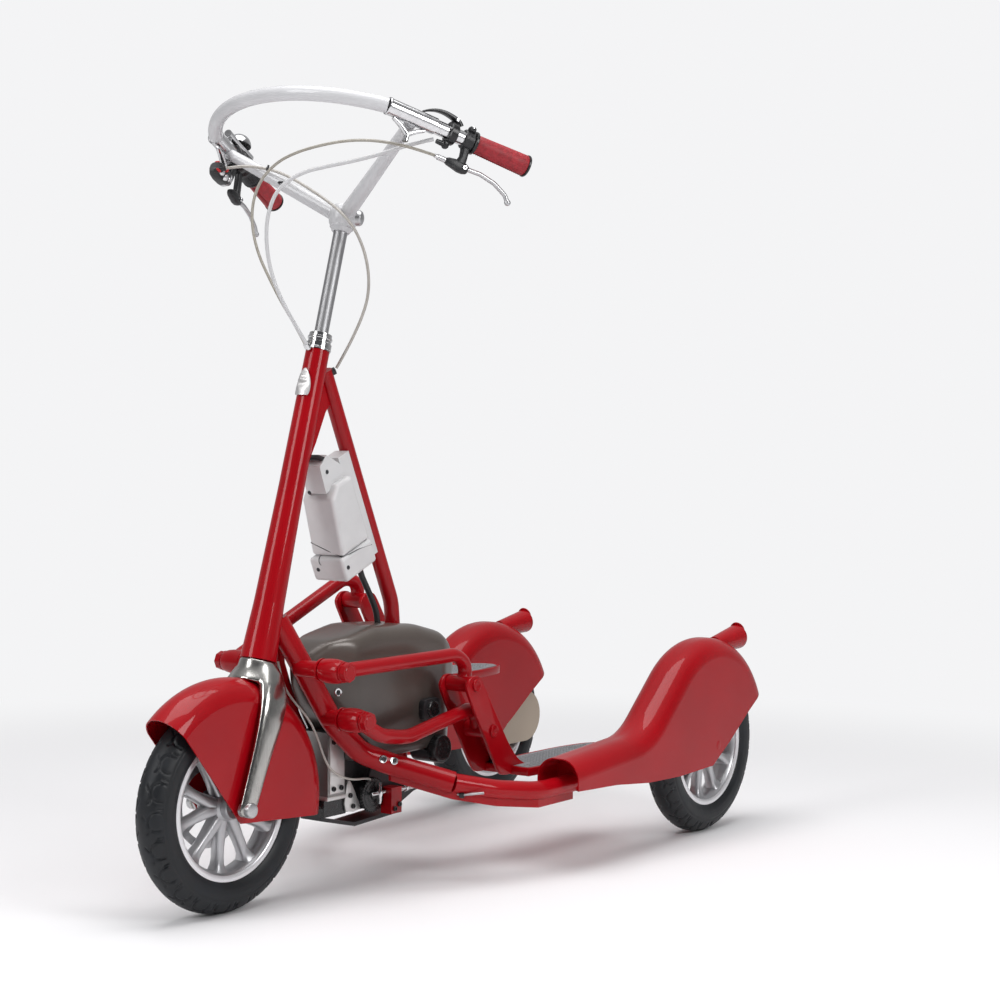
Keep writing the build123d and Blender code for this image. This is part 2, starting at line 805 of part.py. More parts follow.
# Rear wheels and fenders
stay = rear_stay()
axle_start = half_track - fender_half_width + fender_wall
left_axle = cross_bar(0, wheel_z, axle_start, half_track + axle_reach, axle_radius)
left_fender = rear_fender() - cross_bar(0, wheel_z, half_track, half_track + axle_reach + overrun, axle_radius)
for side_name, side in (("left", 1), ("right", -1)):
    place = Pos(0, side * half_track, wheel_z)
    keep("rear_tyre_" + side_name, place * tyre())
    keep("rear_wheel_" + side_name, place * cast_wheel())
keep("rear_axles", pair(left_axle))
keep("rear_stays", pair(stay))
keep("rear_fender_left", left_fender)
keep("rear_fender_right", mirrored(left_fender))
keep("tail_horns", pair(tail_horn()))
case_outer = half_track - fender_half_width + fender_wall + case_thickness
case = cross_bar(case_back_x, wheel_z, case_outer - case_thickness, case_outer, case_radius)
case += cross_bar(case_front_x, wheel_z, case_outer - case_thickness, case_outer, case_radius)
case += block(
    (case_back_x, case_outer - case_thickness, wheel_z - case_radius),
    (case_front_x, case_outer, wheel_z + case_radius),
)
keep("drive_case", mirrored(case - stay - cross_bar(0, wheel_z, 0, half_track, axle_radius)))

# Chassis
keep("head_tube", head_tube())
left_tube = down_tube(0)
tubes = left_tube + mirrored(left_tube) - head_tube_outer()
keep("down_tubes", tubes)
left_rail = bent_bar(rail_points, rail_bends, rail_radius) - left_tube
keep("rails", pair(left_rail))
left_band = skirt_band() - left_tube - left_rail - stay
keep("rail_bands", pair(left_band))
cross_tube = cross_bar(cross_tube_x, strut_foot[2], -half_track, half_track, cross_tube_radius)
for piece in (left_rail, left_band):
    cross_tube -= piece
    cross_tube -= mirrored(piece)
cross_tube = cross_tube.solids().sort_by_distance(Vector(cross_tube_x, 0, strut_foot[2]))[0]
keep("cross_tube", cross_tube)
strut = rear_strut()
keep("strut", strut)
grommet_run = (Vector(*control_cable_route[-1]) - Vector(*control_cable_route[-2])).normalized()
grommet_start = Vector(*control_cable_route[-1]) + grommet_run * grommet_gap
grommet = rod(grommet_start, (strut_top[0], 0, strut_top[2] - grommet_length), grommet_radius) - strut - head_tube_outer()
keep("cable_grommet", grommet.solids().sort_by_distance(grommet_start)[0])
upper_stub = pivot_stub(pivot_upper, tube_points[1][1]) - tubes
lower_stub = pivot_stub(pivot_lower, tube_points[2][1]) - tubes

# Front wheel, fork and column
keep("front_tyre", steer(front_centre * tyre(), wheel_steer_deg))
keep("front_wheel", steer(front_centre * cast_wheel(), wheel_steer_deg))
keep("brake_rotor", steer(front_centre * brake_rotor(), wheel_steer_deg))
axle_bore = cross_bar(wheel_base, wheel_z, -fork_eye_outer_y, fork_eye_outer_y, axle_radius)
keep("front_fender", steer(front_centre * front_fender() - axle_bore, wheel_steer_deg))


def fork_leg():
    """Return the left fork leg, lofted through flat slot sections."""
    sections = []
    for forward, out, above, width, thickness in fork_leg_shares:
        z = wheel_z + above * fork_leg_length
        x = axis_x(z) + forward * fork_leg_length
        slot = SlotOverall(width * fork_leg_length, thickness * fork_leg_length)
        sections.append(Plane(origin=(x, out * fork_leg_length, z)) * slot)
    return loft(sections)


leg = fork_leg() + cross_bar(wheel_base, wheel_z, fork_eye_inner_y, fork_eye_outer_y, fork_eye_radius)
crown_low_z = fork_crown_z - crown_skirt
fork = along_axis(head_tube_bottom_z - touch_gap, crown_low_z, head_tube_radius, crown_skirt_radius)
fork = fork + leg + mirrored(leg)
fork -= front_centre * fender_core(0)
fork -= along_axis(column_foot_z, head_tube_bottom_z + overrun, column_radius)
fork -= axle_bore
keep("fork", steer(fork, wheel_steer_deg))
axle = axle_bore
for side in (-1, 1):
    cap_start = side * fork_eye_outer_y
    axle += cross_bar(wheel_base, wheel_z, cap_start, cap_start + side * axle_cap_length, axle_cap_radius)
keep("front_axle", steer(axle, wheel_steer_deg))
keep("steering_column", along_axis(column_foot_z, column_top_z, column_radius))
groove_low, groove_high = headset_groove_shares
headset_low = head_tube_top_z + touch_gap
headset = along_axis(headset_low, headset_low + groove_low * headset_height, headset_radius)
headset += along_axis(headset_low, headset_low + headset_height, headset_groove_radius)
headset += along_axis(headset_low + groove_high * headset_height, headset_low + headset_height, headset_top_radius)
for route in (brake_cable_route, shift_cable_route):
    cable_end = Vector(*route[-1])
    last_run = (cable_end - Vector(*route[-2])).normalized()
    headset += rod(cable_end, cable_end + last_run * cable_stop_length, cable_stop_radius)
headset -= along_axis(head_tube_top_z - overrun, headset_low + headset_height + overrun, column_radius)
headset -= head_tube_outer()
keep("headset_collar", headset)

# Handlebar
mouth = Vector(axis_ground_x - bar_mouth_setback, bar_mouth_y, column_top_z + bar_mouth_rise)
bar_run = Vector(-bar_run_back, bar_run_out, -bar_run_down)
bar_dir = bar_run.normalized()
bar_out = bar_dir.cross(Vector(0, 0, 1)).normalized()
bar_up = bar_out.cross(bar_dir).normalized()
bar_total = bar_run.length


def bar_at(along, up=0, out=0):
    """Return a point of the left bar: along it from its mouth, above it and beside it."""
    return mouth + bar_dir * along + bar_up * up + bar_out * out


def bar_ring(along, length, radius, end_radius=None):
    return rod(bar_at(along), bar_at(along + length), radius, end_radius)


def bar_box(along, length, up, height, width):
    """Return a box beside the bar, squared to it."""
    plane = Plane(origin=bar_at(along + length / 2, up), x_dir=bar_dir, z_dir=bar_up)
    return plane * Box(length, width, height)


def keep_steered(name, shape):
    keep(name, steer(shape, bar_steer_deg))


sleeve = bar_ring(0, sleeve_length, sleeve_radius)
bar_stub = bar_ring(sleeve_length, bar_total - sleeve_length - tiny, bar_radius)
lug = bar_at(lug_share * bar_total)
hub = along_axis(column_top_z, column_top_z + stem_hub_height, stem_hub_radius)
arm_foot = axis_point(column_top_z + stem_arm_rise)
stem_arm = rod(arm_foot, lug - Vector(0, 0, stem_arm_high_drop), stem_arm_low_radius, stem_arm_high_radius)
stem_arm -= sleeve
stem_arm = stem_arm.solids().sort_by(Axis.Z)[0]
stem = hub + stem_arm + mirrored(stem_arm)
keep_steered("stem", stem)
loop_path = ThreePointArc(
    (mouth.X, mouth.Y, mouth.Z),
    (mouth.X + loop_front_reach, 0, mouth.Z + loop_front_rise),
    (mouth.X, -mouth.Y, mouth.Z),
)
loop_bar = sweep(Plane(origin=loop_path @ 0, z_dir=loop_path % 0) * Circle(loop_radius), path=loop_path)
loop_bar -= sleeve
loop_bar -= mirrored(sleeve)
keep_steered("loop_bar", loop_bar)
keep_steered("sleeves", pair(sleeve))
keep_steered("bar_ends", pair(bar_stub))

grip_end_start = bar_total - grip_end_length
grip_body_start = grip_start + grip_flange_length
grip = bar_ring(grip_start, grip_flange_length, grip_flange_radius)
grip += bar_ring(grip_body_start, grip_end_start - grip_body_start, grip_inner_radius, grip_outer_radius)
grip += bar_ring(grip_end_start, grip_end_length, grip_end_radius)
keep_steered("grips", pair(grip - bar_stub))


def brake_clamp(start, drop, with_adjuster):
    """Return a lever clamp on the bar, with its arm and the lever housing under the bar."""
    box_start = start - lever_box_lead
    body = bar_ring(start, clamp_length, clamp_radius)
    body += bar_box(start, clamp_length, -drop / 2, drop, lever_arm_width)
    body += bar_box(box_start, lever_box_length, -drop, lever_box_height, lever_box_width)
    if with_adjuster:
        body += rod(bar_at(box_start - adjuster_length, -drop), bar_at(box_start, -drop), adjuster_radius)
    return body - bar_stub - sleeve


def brake_lever(start, drop):
    """Return the lever blade with its ball end."""
    blade_start = start - lever_box_lead + lever_box_length
    points = [(blade_start, -drop)]
    for along, down in lever_blade_shares:
        points.append((blade_start + along * lever_tip_reach, -drop - down * lever_tip_drop))
    points.append((blade_start + lever_tip_reach, -drop - lever_tip_drop))
    body = bent_bar([bar_at(*point) for point in points], lever_blade_bends, lever_blade_radius)
    ball = bar_at(*points[-1])
    return body + Pos(ball.X, ball.Y, ball.Z) * Sphere(lever_ball_radius)


left_clamp = brake_clamp(clamp_start, lever_drop, True)
right_clamp = mirrored(brake_clamp(right_clamp_start, right_lever_drop, False))
keep_steered("brake_clamps", Compound([*left_clamp.solids(), *right_clamp.solids()]))
left_lever = brake_lever(clamp_start, lever_drop) - left_clamp
right_lever = mirrored(brake_lever(right_clamp_start, right_lever_drop)) - right_clamp
keep_steered("brake_levers", Compound([*left_lever.solids(), *right_lever.solids()]))

shifter = bar_ring(shifter_start, shifter_length, shifter_radius)
thumb_foot = bar_at(shifter_start, shifter_radius / 2)
thumb_tip = bar_at(shifter_start - thumb_reach, shifter_rise)
shifter += rod(thumb_foot, thumb_tip, shifter_length / 2, shifter_length / 4)
shifter += bar_box(shifter_start, shifter_length, -shifter_radius, shifter_radius, shifter_length)
nozzle_foot = bar_at(shifter_start + shifter_length / 2, -nozzle_drop)
shifter += rod(bar_at(nozzle_start, -nozzle_drop), nozzle_foot, nozzle_radius)
shifter = shifter - bar_stub - sleeve
throttle = mirrored(bar_ring(throttle_start, throttle_length, throttle_radius) - bar_stub)
keep_steered("bar_switches", Compound([*shifter.solids(), *throttle.solids()]))

control = bar_ring(control_start, control_length, control_radius)
control += bar_box(control_start, control_length, -control_box_drop / 2, control_box_drop, control_neck)
control += bar_box(control_box_start, control_box_length, -control_box_drop, control_box_height, control_box_width)
neck_length = control_start - control_box_start
control += bar_box(control_box_start, neck_length, -control_box_drop, control_box_height / 2, control_neck)
control = steer(mirrored(control - bar_stub - sleeve), bar_steer_deg)
feed_run = (Vector(*control_cable_route[1]) - Vector(*control_cable_route[0])).normalized()
feed_tip = Vector(*control_cable_route[0]) - feed_run * touch_gap
control += rod(feed_tip - feed_run * feed_length, feed_tip, feed_radius)
keep("control_right", control)

bell_start = bell_along - bell_barrel_length / 2
bell = rod(bar_at(bell_start, bell_rise), bar_at(bell_start + bell_barrel_length, bell_rise), bell_barrel_radius)
foot_along = bell_start + bell_barrel_radius
bell += rod(bar_at(foot_along), bar_at(foot_along, bell_rise), bell_foot_radius)
dome_plane = Plane(origin=bar_at(bell_along, bell_rise), z_dir=bar_up)
bell += Solid.make_sphere(bell_dome_radius, dome_plane, 0, 90, 360)
bell = bell - sleeve
keep_steered("bell", mirrored(bell))

# Drive unit under the cover
motor_front_x = pivot_lower[0] - motor_setback
motor_top_z = pivot_lower[1] - motor_top_drop
motor_low_z = motor_top_z - motor_height
motor = block(
    (motor_front_x - motor_length, -motor_half_width, motor_low_z), (motor_front_x, motor_half_width, motor_top_z)
)
base_front_x = motor_front_x + (motor_base_length - motor_length) / 2
base_low_z = motor_low_z - motor_base_height
motor_base = block(
    (base_front_x - motor_base_length, -motor_base_half_width, base_low_z),
    (base_front_x, motor_base_half_width, motor_low_z),
)
gear_z = wheel_z - gear_drop
hanger_low_z = wheel_z - cross_tube_drop - hanger_drop
hanger_outline = outline_at(cross_tube_x, hanger_low_z, hanger_length, hanger_height, hanger_shares)
plate = side_prism(hanger_outline, hanger_half_width, hanger_half_width - hanger_wall)
plate -= cross_bar(gear_x, gear_z, 0, hanger_half_width + overrun, pin_radius)
plate -= cross_bar(cross_tube_x, strut_foot[2], 0, hanger_half_width + overrun, cross_tube_radius)
guard_low = [
    (base_front_x - along * guard_length, base_low_z - guard_thickness + up * guard_drop) for along, up in guard_shares
]
guard_high = [(x, z + guard_thickness) for x, z in reversed(guard_low)]
guard = side_prism(Polyline(*guard_low, *guard_high, close=True), guard_half_width, -guard_half_width)
red_block = block(
    (block_front_x - block_length, block_inner_y, strut_foot[2] - block_height),
    (block_front_x, block_outer_y, strut_foot[2]),
)

# Drive cover
cover_bottom_z = pivot_lower[1] - cover_bottom_drop


def cover_blank():
    outline = outline_at(cover_tail_x, cover_bottom_z, cover_length, cover_height, cover_shares)
    face = make_face(outline)
    corners = [vertex for vertex in face.vertices() if vertex.Y > cover_bottom_z + tiny]
    face = fillet(corners, cover_outline_round)
    plane = Plane(origin=(0, cover_half_width, 0), x_dir=(1, 0, 0), z_dir=(0, -1, 0))
    blank = extrude(plane * face, amount=2 * cover_half_width)
    rounded = [edge for edge in blank.edges() if side_edge(edge, cover_bottom_z)]
    return fillet(rounded, cover_side_round)


nose_x = cover_tail_x + cover_length
taper_x = cover_tail_x + cover_taper_share * cover_length
tail_taper_x = cover_tail_x + cover_tail_taper_share * cover_length
tail_half = cover_tail_half_share * cover_half_width
half_plan = [
    (cover_tail_x, tail_half),
    (tail_taper_x, cover_half_width),
    (taper_x, cover_half_width),
    (nose_x, cover_nose_half_width),
]
cover_plan = make_face(Polyline(*half_plan, *[(x, -y) for x, y in reversed(half_plan)], close=True))
cover_window = Pos(0, 0, cover_bottom_z) * extrude(cover_plan, amount=cover_height + overrun)
cover = cover_blank() & cover_window
tube_path = down_tube(cover_tube_gap)
for piece in (strut, tube_path, mirrored(tube_path), upper_stub, lower_stub, motor, plate):
    cover -= piece
for piece in (upper_stub, lower_stub, plate):
    cover -= mirrored(piece)
cover = cover.solids().sort_by(SortBy.VOLUME)[-1]
keep("drive_cover", cover)
keep("pivot_stubs", Compound([*pair(upper_stub).solids(), *pair(lower_stub).solids()]))
stop = cross_bar(stop_x, cover_bottom_z, stop_inner_y, stop_end_y, stop_radius) - cover - plate
stop = stop.solids().sort_by(SortBy.VOLUME)[-1]
keep("pedal_stops", pair(stop))
guide = cross_bar(guide_x, cover_bottom_z + guide_rise, cover_half_width - overrun, guide_end_y, guide_radius) - cover
keep("cover_guides", pair(guide.solids().sort_by(SortBy.VOLUME)[-1]))
keep("motor_box", motor - tubes)
keep("motor_base", motor_base)
keep("belt_guard", guard)
gear = cross_bar(gear_x, gear_z, -gear_half_width, gear_half_width, gear_radius)
gear += cross_bar(gear_x, gear_z, -gear_pin_half_length, gear_pin_half_length, pin_radius)
keep("gear_drum", gear)
keep("drive_hanger", pair(plate - cover))
keep("hanger_block", red_block)

# Battery
strut_dir = (strut_place(strut_top[2]) - strut_place(strut_knee_z)).normalized()
battery_plane = Plane(
    origin=strut_place(battery_strut_z), x_dir=Vector(strut_dir.Z, 0, -strut_dir.X), z_dir=(0, -1, 0)
)
front_of_strut = strut_radius + battery_standoff


def on_strut(outline, half_width):
    """Return a piece on the rear strut from its outline beside the strut."""
    face = battery_plane * make_face(outline)
    return Pos(0, half_width, 0) * extrude(face, amount=2 * half_width)


body_outline = outline_at(front_of_strut, -battery_sink, battery_depth, battery_height, battery_shares)
battery = on_strut(body_outline, battery_half_width)
battery = fillet(battery.edges(), battery_round)
keep("battery", battery)
dock_rows = [(strut_radius, -dock_low), (front_of_strut, -dock_low), (front_of_strut, dock_high), (strut_radius, dock_high)]
dock = on_strut(Polyline(*dock_rows, close=True), dock_half_width)
cup_low = -battery_sink - cup_height
cup_rows = [
    (front_of_strut, cup_low),
    (front_of_strut + cup_depth, cup_low),
    (front_of_strut + cup_depth, -battery_sink),
    (front_of_strut, -battery_sink),
]
cup = on_strut(Polyline(*cup_rows, close=True), cup_half_width)
cup = fillet(cup.edges(), cup_round)
keep("battery_dock", dock + cup - battery)
bracket_low = battery_height - battery_sink
bracket_outline = outline_at(front_of_strut, bracket_low, bracket_depth, bracket_height, bracket_shares)
keep("battery_bracket", on_strut(bracket_outline, bracket_half_width) - battery - dock)
cable_start = battery_plane.from_local_coords((battery_cable_depth, cup_low, 0))
cover_top_z = cover_bottom_z + cover_height
cable_ends = ((cable_start.X, 0, cable_start.Z), (battery_cable_foot_x, 0, cover_top_z - battery_cable_radius))
cable_rows = [(back, 0, down) for back, down in battery_cable_shares]
battery_cable = bent_bar(
    [cable_ends[0], *between(*cable_ends, cable_rows), cable_ends[1]], battery_cable_bends, battery_cable_radius
)
battery_cable = (battery_cable - cover - dock - cup).solids().sort_by(SortBy.VOLUME)[-1]
keep("battery_cable", battery_cable)

# Pedal linkage
left_low = {
    "upper_arm": arm(pivot_upper, arm_low_deg, upper_arm_shares),
    "lower_arm": arm(pivot_lower, arm_low_deg, lower_arm_shares),
    "pedal": carrier(),
    "tread": tread(),
}
right_high = {
    "upper_arm": arm(pivot_upper, -arm_high_deg, upper_arm_shares),
    "lower_arm": arm(pivot_lower, -arm_high_deg, lower_arm_shares),
    "pedal": pedal_lift * left_low["pedal"],
    "tread": pedal_lift * left_low["tread"],
}
for name, shape in left_low.items():
    keep(name + "_left", shape)
for name, shape in right_high.items():
    keep(name + "_right", mirrored(shape))


def cable(name, route, radius):
    """Return a free cable's tube, with every arc as large as its two runs allow."""
    points = [Vector(*place) for place in route]
    bends = []
    for before, corner, after in zip(points, points[1:], points[2:]):
        arriving = corner - before
        leaving = after - corner
        half_turn = radians(arriving.get_angle(leaving)) / 2
        bends.append(cable_arc_share * min(arriving.length, leaving.length) / tan(half_turn))
    tube = bent_bar(points, bends, radius)
    print(name, "radii", [round(bend) for bend in bends])
    return tube


keep("brake_cable", cable("brake_cable", brake_cable_route, brake_cable_radius))
keep("shift_cable", cable("shift_cable", shift_cable_route, shift_cable_radius))
keep("control_cable", cable("control_cable", control_cable_route, control_cable_radius))

low_x = min(shape.bounding_box().min.X for shape in nodes.values())
high_x = max(shape.bounding_box().max.X for shape in nodes.values())
low_y = min(shape.bounding_box().min.Y for shape in nodes.values())
high_y = max(shape.bounding_box().max.Y for shape in nodes.values())
origin = Vector((low_x + high_x) / 2, (low_y + high_y) / 2, 0)
print("origin", origin.X, origin.Y, "size", high_x - low_x, high_y - low_y)
for name, shape in nodes.items():
    export_step(Pos(-origin.X, -origin.Y, 0) * shape, "parts/" + name + ".step")
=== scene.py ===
"""Walking bicycle: finishes, trim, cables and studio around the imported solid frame."""

import json
import logging
import math
from dataclasses import dataclass
from enum import Enum
from typing import Iterable, Sequence

import bmesh
import bpy
from mathutils import Matrix, Vector

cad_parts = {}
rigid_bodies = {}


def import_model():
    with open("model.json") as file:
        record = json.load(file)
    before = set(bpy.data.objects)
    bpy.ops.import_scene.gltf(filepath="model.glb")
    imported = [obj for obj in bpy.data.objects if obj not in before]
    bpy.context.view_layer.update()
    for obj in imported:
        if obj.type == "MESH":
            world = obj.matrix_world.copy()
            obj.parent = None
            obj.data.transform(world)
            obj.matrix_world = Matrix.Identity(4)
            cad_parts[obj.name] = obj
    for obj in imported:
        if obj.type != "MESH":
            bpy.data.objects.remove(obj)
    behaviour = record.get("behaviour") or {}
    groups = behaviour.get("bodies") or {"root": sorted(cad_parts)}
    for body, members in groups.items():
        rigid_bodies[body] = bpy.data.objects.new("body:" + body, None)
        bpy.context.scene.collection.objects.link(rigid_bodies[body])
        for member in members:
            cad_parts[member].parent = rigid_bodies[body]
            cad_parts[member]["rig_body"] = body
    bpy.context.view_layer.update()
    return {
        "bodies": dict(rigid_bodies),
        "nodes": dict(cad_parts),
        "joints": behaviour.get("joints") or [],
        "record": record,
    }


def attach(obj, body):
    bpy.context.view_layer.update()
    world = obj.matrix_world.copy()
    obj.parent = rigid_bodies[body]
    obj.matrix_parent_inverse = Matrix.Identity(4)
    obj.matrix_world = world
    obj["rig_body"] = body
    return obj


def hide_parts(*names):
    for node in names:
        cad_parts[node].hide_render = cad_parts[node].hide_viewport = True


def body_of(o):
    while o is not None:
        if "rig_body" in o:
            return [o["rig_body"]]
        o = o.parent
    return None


log = logging.getLogger("walking_bicycle")

Place = tuple[float, float, float]
Colour = tuple[float, float, float, float]
Flat = tuple[float, float]
Station = tuple[Place, float, float]

MM = 0.001
ORIGIN = Vector((485.71256, 7.10685, 0.0))
AXIS_GROUND = Vector((1010.5, 0.0, 0.0))
AXIS_LEAN = 0.2813
AXIS_DIRECTION = Vector((-AXIS_LEAN, 0.0, 1.0)).normalized()
AHEAD = Vector((1, 0, 0))
ACROSS = Vector((0, 1, 0))
UP = Vector((0, 0, 1))
WHEEL_STEER = -2.2
BAR_STEER = -4.6


def at(x: float, y: float, z: float) -> Vector:
    """Turn a place in millimetres from the rear axle's ground point into the part's metres."""
    return (Vector((x, y, z)) - ORIGIN) * MM


MIDDLE = at(0, 0, 0)
FROM_MM = Matrix.Translation(MIDDLE) @ Matrix.Scale(MM, 4)
MIRROR = Matrix.Translation(MIDDLE) @ Matrix.Scale(-1, 4, ACROSS) @ Matrix.Translation(-MIDDLE)


def axis_x(z: float) -> float:
    """Return how far forward the steering axis is at a height."""
    return AXIS_GROUND.x - AXIS_LEAN * z


def on_axis(z: float) -> Place:
    """Return the steering axis's own place at a height, in millimetres."""
    return (axis_x(z), 0.0, z)


def turned(degrees: float) -> Matrix:
    """Return the turn about the steering axis, in the part's metres."""
    foot = at(*AXIS_GROUND)
    turn = Matrix.Rotation(math.radians(degrees), 4, AXIS_DIRECTION)
    return Matrix.Translation(foot) @ turn @ Matrix.Translation(-foot)


def seat(place: Sequence[float], along: Sequence[float], top: Sequence[float] | None = None) -> Matrix:
    """Return the matrix that puts a shape drawn in millimetres on the machine.

    Args:
        place: where the shape's own zero goes, in millimetres from the rear axle's ground point.
        along: the direction of the shape's own Z.
        top: the direction that its own X leans to.

    Returns:
        The matrix from the shape's millimetres to the part's metres.
    """
    z_axis = Vector(along).normalized()
    lean = Vector(top) if top is not None else (UP if abs(z_axis.z) < 0.9 else AHEAD)
    x_axis = (lean - z_axis * lean.dot(z_axis)).normalized()
    y_axis = z_axis.cross(x_axis)
    turn = Matrix((x_axis, y_axis, z_axis)).transposed().to_4x4()
    return Matrix.Translation(at(*place)) @ turn @ Matrix.Scale(MM, 4)


def facing(place: Sequence[float], along: Sequence[float]) -> Matrix:
    """Return the matrix that moves a shape's zero to a place and turns its Z along a direction, in its own units."""
    return Matrix.Translation(place) @ Vector(along).to_track_quat("Z", "Y").to_matrix().to_4x4()


def side_on(y: float, x: float = 0.0, z: float = 0.0, out: int = 1) -> Matrix:
    """Return the matrix that stands a slab, drawn in side view, on the machine.

    Args:
        y: how far its first face is from the middle plane, in millimetres.
        x: how far forward its own zero goes.
        z: how high its own zero goes.
        out: 1 to grow to the left, -1 to the right.

    Returns:
        The matrix from the slab's millimetres to the part's metres.
    """
    return FROM_MM @ Matrix(((1, 0, 0, x), (0, 0, out, y), (0, 1, 0, z), (0, 0, 0, 1)))


def ring_places(count: int, radius: float, start: float = 0.0) -> list[Flat]:
    """Return evenly spaced places on a circle about zero."""
    steps = [start + math.tau * number / count for number in range(count)]
    return [(radius * math.cos(step), radius * math.sin(step)) for step in steps]


def flowing(places: Sequence[Sequence[float]], per: int = 4, closed: bool = True) -> list[tuple[float, ...]]:
    """Return a smooth line through places, with so many steps between each two."""
    points = [Vector(place) for place in places]
    count = len(points)
    line = []
    for number in range(count if closed else count - 1):
        if closed:
            before, start, end, after = (points[(number + step) % count] for step in (-1, 0, 1, 2))
        else:
            before, start = points[max(number - 1, 0)], points[number]
            end, after = points[number + 1], points[min(number + 2, count - 1)]
        for step in range(per):
            share = step / per
            swing = (end - before) * share
            bend = (before * 2 - start * 5 + end * 4 - after) * share**2
            close = (start * 3 - before - end * 3 + after) * share**3
            line.append(tuple(start + (swing + bend + close) * 0.5))
    if not closed:
        line.append(tuple(points[-1]))
    return line


class Signal:
    """One socket's value inside a material, with its maths written as Python."""

    def __init__(self, recipe: "Recipe", socket: bpy.types.NodeSocket) -> None:
        """Wrap a socket of the recipe's node tree."""
        self.recipe = recipe
        self.socket = socket

    def _maths(self, operation: str, *values: "Signal | float") -> "Signal":
        """Add a Math node on the given values."""
        return self.recipe.node("ShaderNodeMath", {"operation": operation}, dict(enumerate(values)))

    def __add__(self, other: "Signal | float") -> "Signal":
        """Return the sum."""
        return self._maths("ADD", self, other)

    def __sub__(self, other: "Signal | float") -> "Signal":
        """Return the difference."""
        return self._maths("SUBTRACT", self, other)

    def __mul__(self, other: "Signal | float") -> "Signal":
        """Return the product."""
        return self._maths("MULTIPLY", self, other)

    def __pow__(self, power: float) -> "Signal":
        """Return the power."""
        return self._maths("POWER", self, power)

    def sine(self) -> "Signal":
        """Return the sine."""
        return self._maths("SINE", self)

    def fade(self, low: float, high: float) -> "Signal":
        """Rise smoothly from 0 at one value to 1 at another."""
        limits = {"Value": self, "From Min": low, "From Max": high}
        return self.recipe.node("ShaderNodeMapRange", {"interpolation_type": "SMOOTHSTEP"}, limits)


class Recipe:
    """The node tree of a material or a world, put together from signals."""

    def __init__(self, name: str, kind: str = "materials") -> None:
        """Start an empty material, or one of another kind of Blender's data."""
        self.owner = getattr(bpy.data, kind).new(name)
        self.owner.use_nodes = True
        self.tree = self.owner.node_tree
        self.tree.nodes.clear()
        self.coordinates = self.tree.nodes.new("ShaderNodeTexCoord")

    def node(
        self, kind: str, settings: dict | None = None, values: dict | None = None, output: int | str = 0
    ) -> Signal:
        """Add one node.

        Args:
            kind: the node's type.
            settings: its own properties, with "stops" for a colour ramp's stops.
            values: a number, colour or signal for each socket that differs from its default.
            output: the output that is returned.

        Returns:
            The chosen output as a signal.
        """
        made = self.tree.nodes.new(kind)
        for name, value in (settings or {}).items():
            if name == "stops":
                self._set_stops(made.color_ramp, value)
            else:
                setattr(made, name, value)
        for name, value in (values or {}).items():
            socket = made.inputs[name]
            if isinstance(value, Signal):
                self.tree.links.new(value.socket, socket)
            else:
                socket.default_value = value
        return Signal(self, made.outputs[output])

    @staticmethod
    def _set_stops(ramp: bpy.types.ColorRamp, stops: Sequence[tuple[float, Colour]]) -> None:
        """Give a colour ramp its stops."""
        while len(ramp.elements) < len(stops):
            ramp.elements.new(1.0)
        for element, (position, colour) in zip(ramp.elements, stops):
            element.position = position
            element.color = colour

    def coordinate(self, kind: str) -> Signal:
        """Return one of the texture coordinates, such as the piece's own UV map."""
        return Signal(self, self.coordinates.outputs[kind])

    def place(self, scale: Place = (1.0, 1.0, 1.0), turn: Place = (0.0, 0.0, 0.0)) -> Signal:
        """Return Object coordinates, turned and scaled."""
        values = {"Vector": self.coordinate("Object"), "Scale": scale, "Rotation": turn}
        return self.node("ShaderNodeMapping", {}, values)

    def parts(self, vector: Signal) -> tuple[Signal, Signal, Signal]:
        """Split a vector into its three numbers."""
        split = self.node("ShaderNodeSeparateXYZ", {}, {"Vector": vector})
        return tuple(Signal(self, output) for output in split.socket.node.outputs)

    def noise(self, scale: float, detail: float = 3.0, vector: Signal | None = None, rough: float = 0.5) -> Signal:
        """Return a cloudy value around 0.5."""
        source = vector if vector is not None else self.place()
        values = {"Vector": source, "Scale": scale, "Detail": detail, "Roughness": rough}
        return self.node("ShaderNodeTexNoise", {}, values)

    def cells(self, scale: float, feature: str = "F1") -> Signal:
        """Return the distance inside a pattern of cells."""
        return self.node("ShaderNodeTexVoronoi", {"feature": feature}, {"Vector": self.place(), "Scale": scale})

    def mix(self, factor: Signal | float, first: Signal | Colour, second: Signal | Colour) -> Signal:
        """Blend two colours, on the sockets that the Mix node keeps for colours."""
        return self.node("ShaderNodeMix", {"data_type": "RGBA"}, {0: factor, 6: first, 7: second}, output=2)

    def bump(self, height: Signal, depth: float, strength: float) -> Signal:
        """Raise the surface by a height signal, with its depth in metres."""
        return self.node("ShaderNodeBump", {}, {"Height": height, "Distance": depth, "Strength": strength})

    def finish(self, values: dict) -> bpy.types.Material:
        """Feed a Principled shader and close the material."""
        return self.close(self.node("ShaderNodeBsdfPrincipled", {}, values))

    def close(self, shader: Signal, kind: str = "ShaderNodeOutputMaterial") -> bpy.types.ID:
        """Link a shader to the output and return what it belongs to."""
        output = self.tree.nodes.new(kind)
        self.tree.links.new(shader.socket, output.inputs["Surface"])
        return self.owner


def shade(colour: Colour, factor: float) -> Colour:
    """Return a colour made darker or lighter by a factor."""
    return (colour[0] * factor, colour[1] * factor, colour[2] * factor, 1.0)


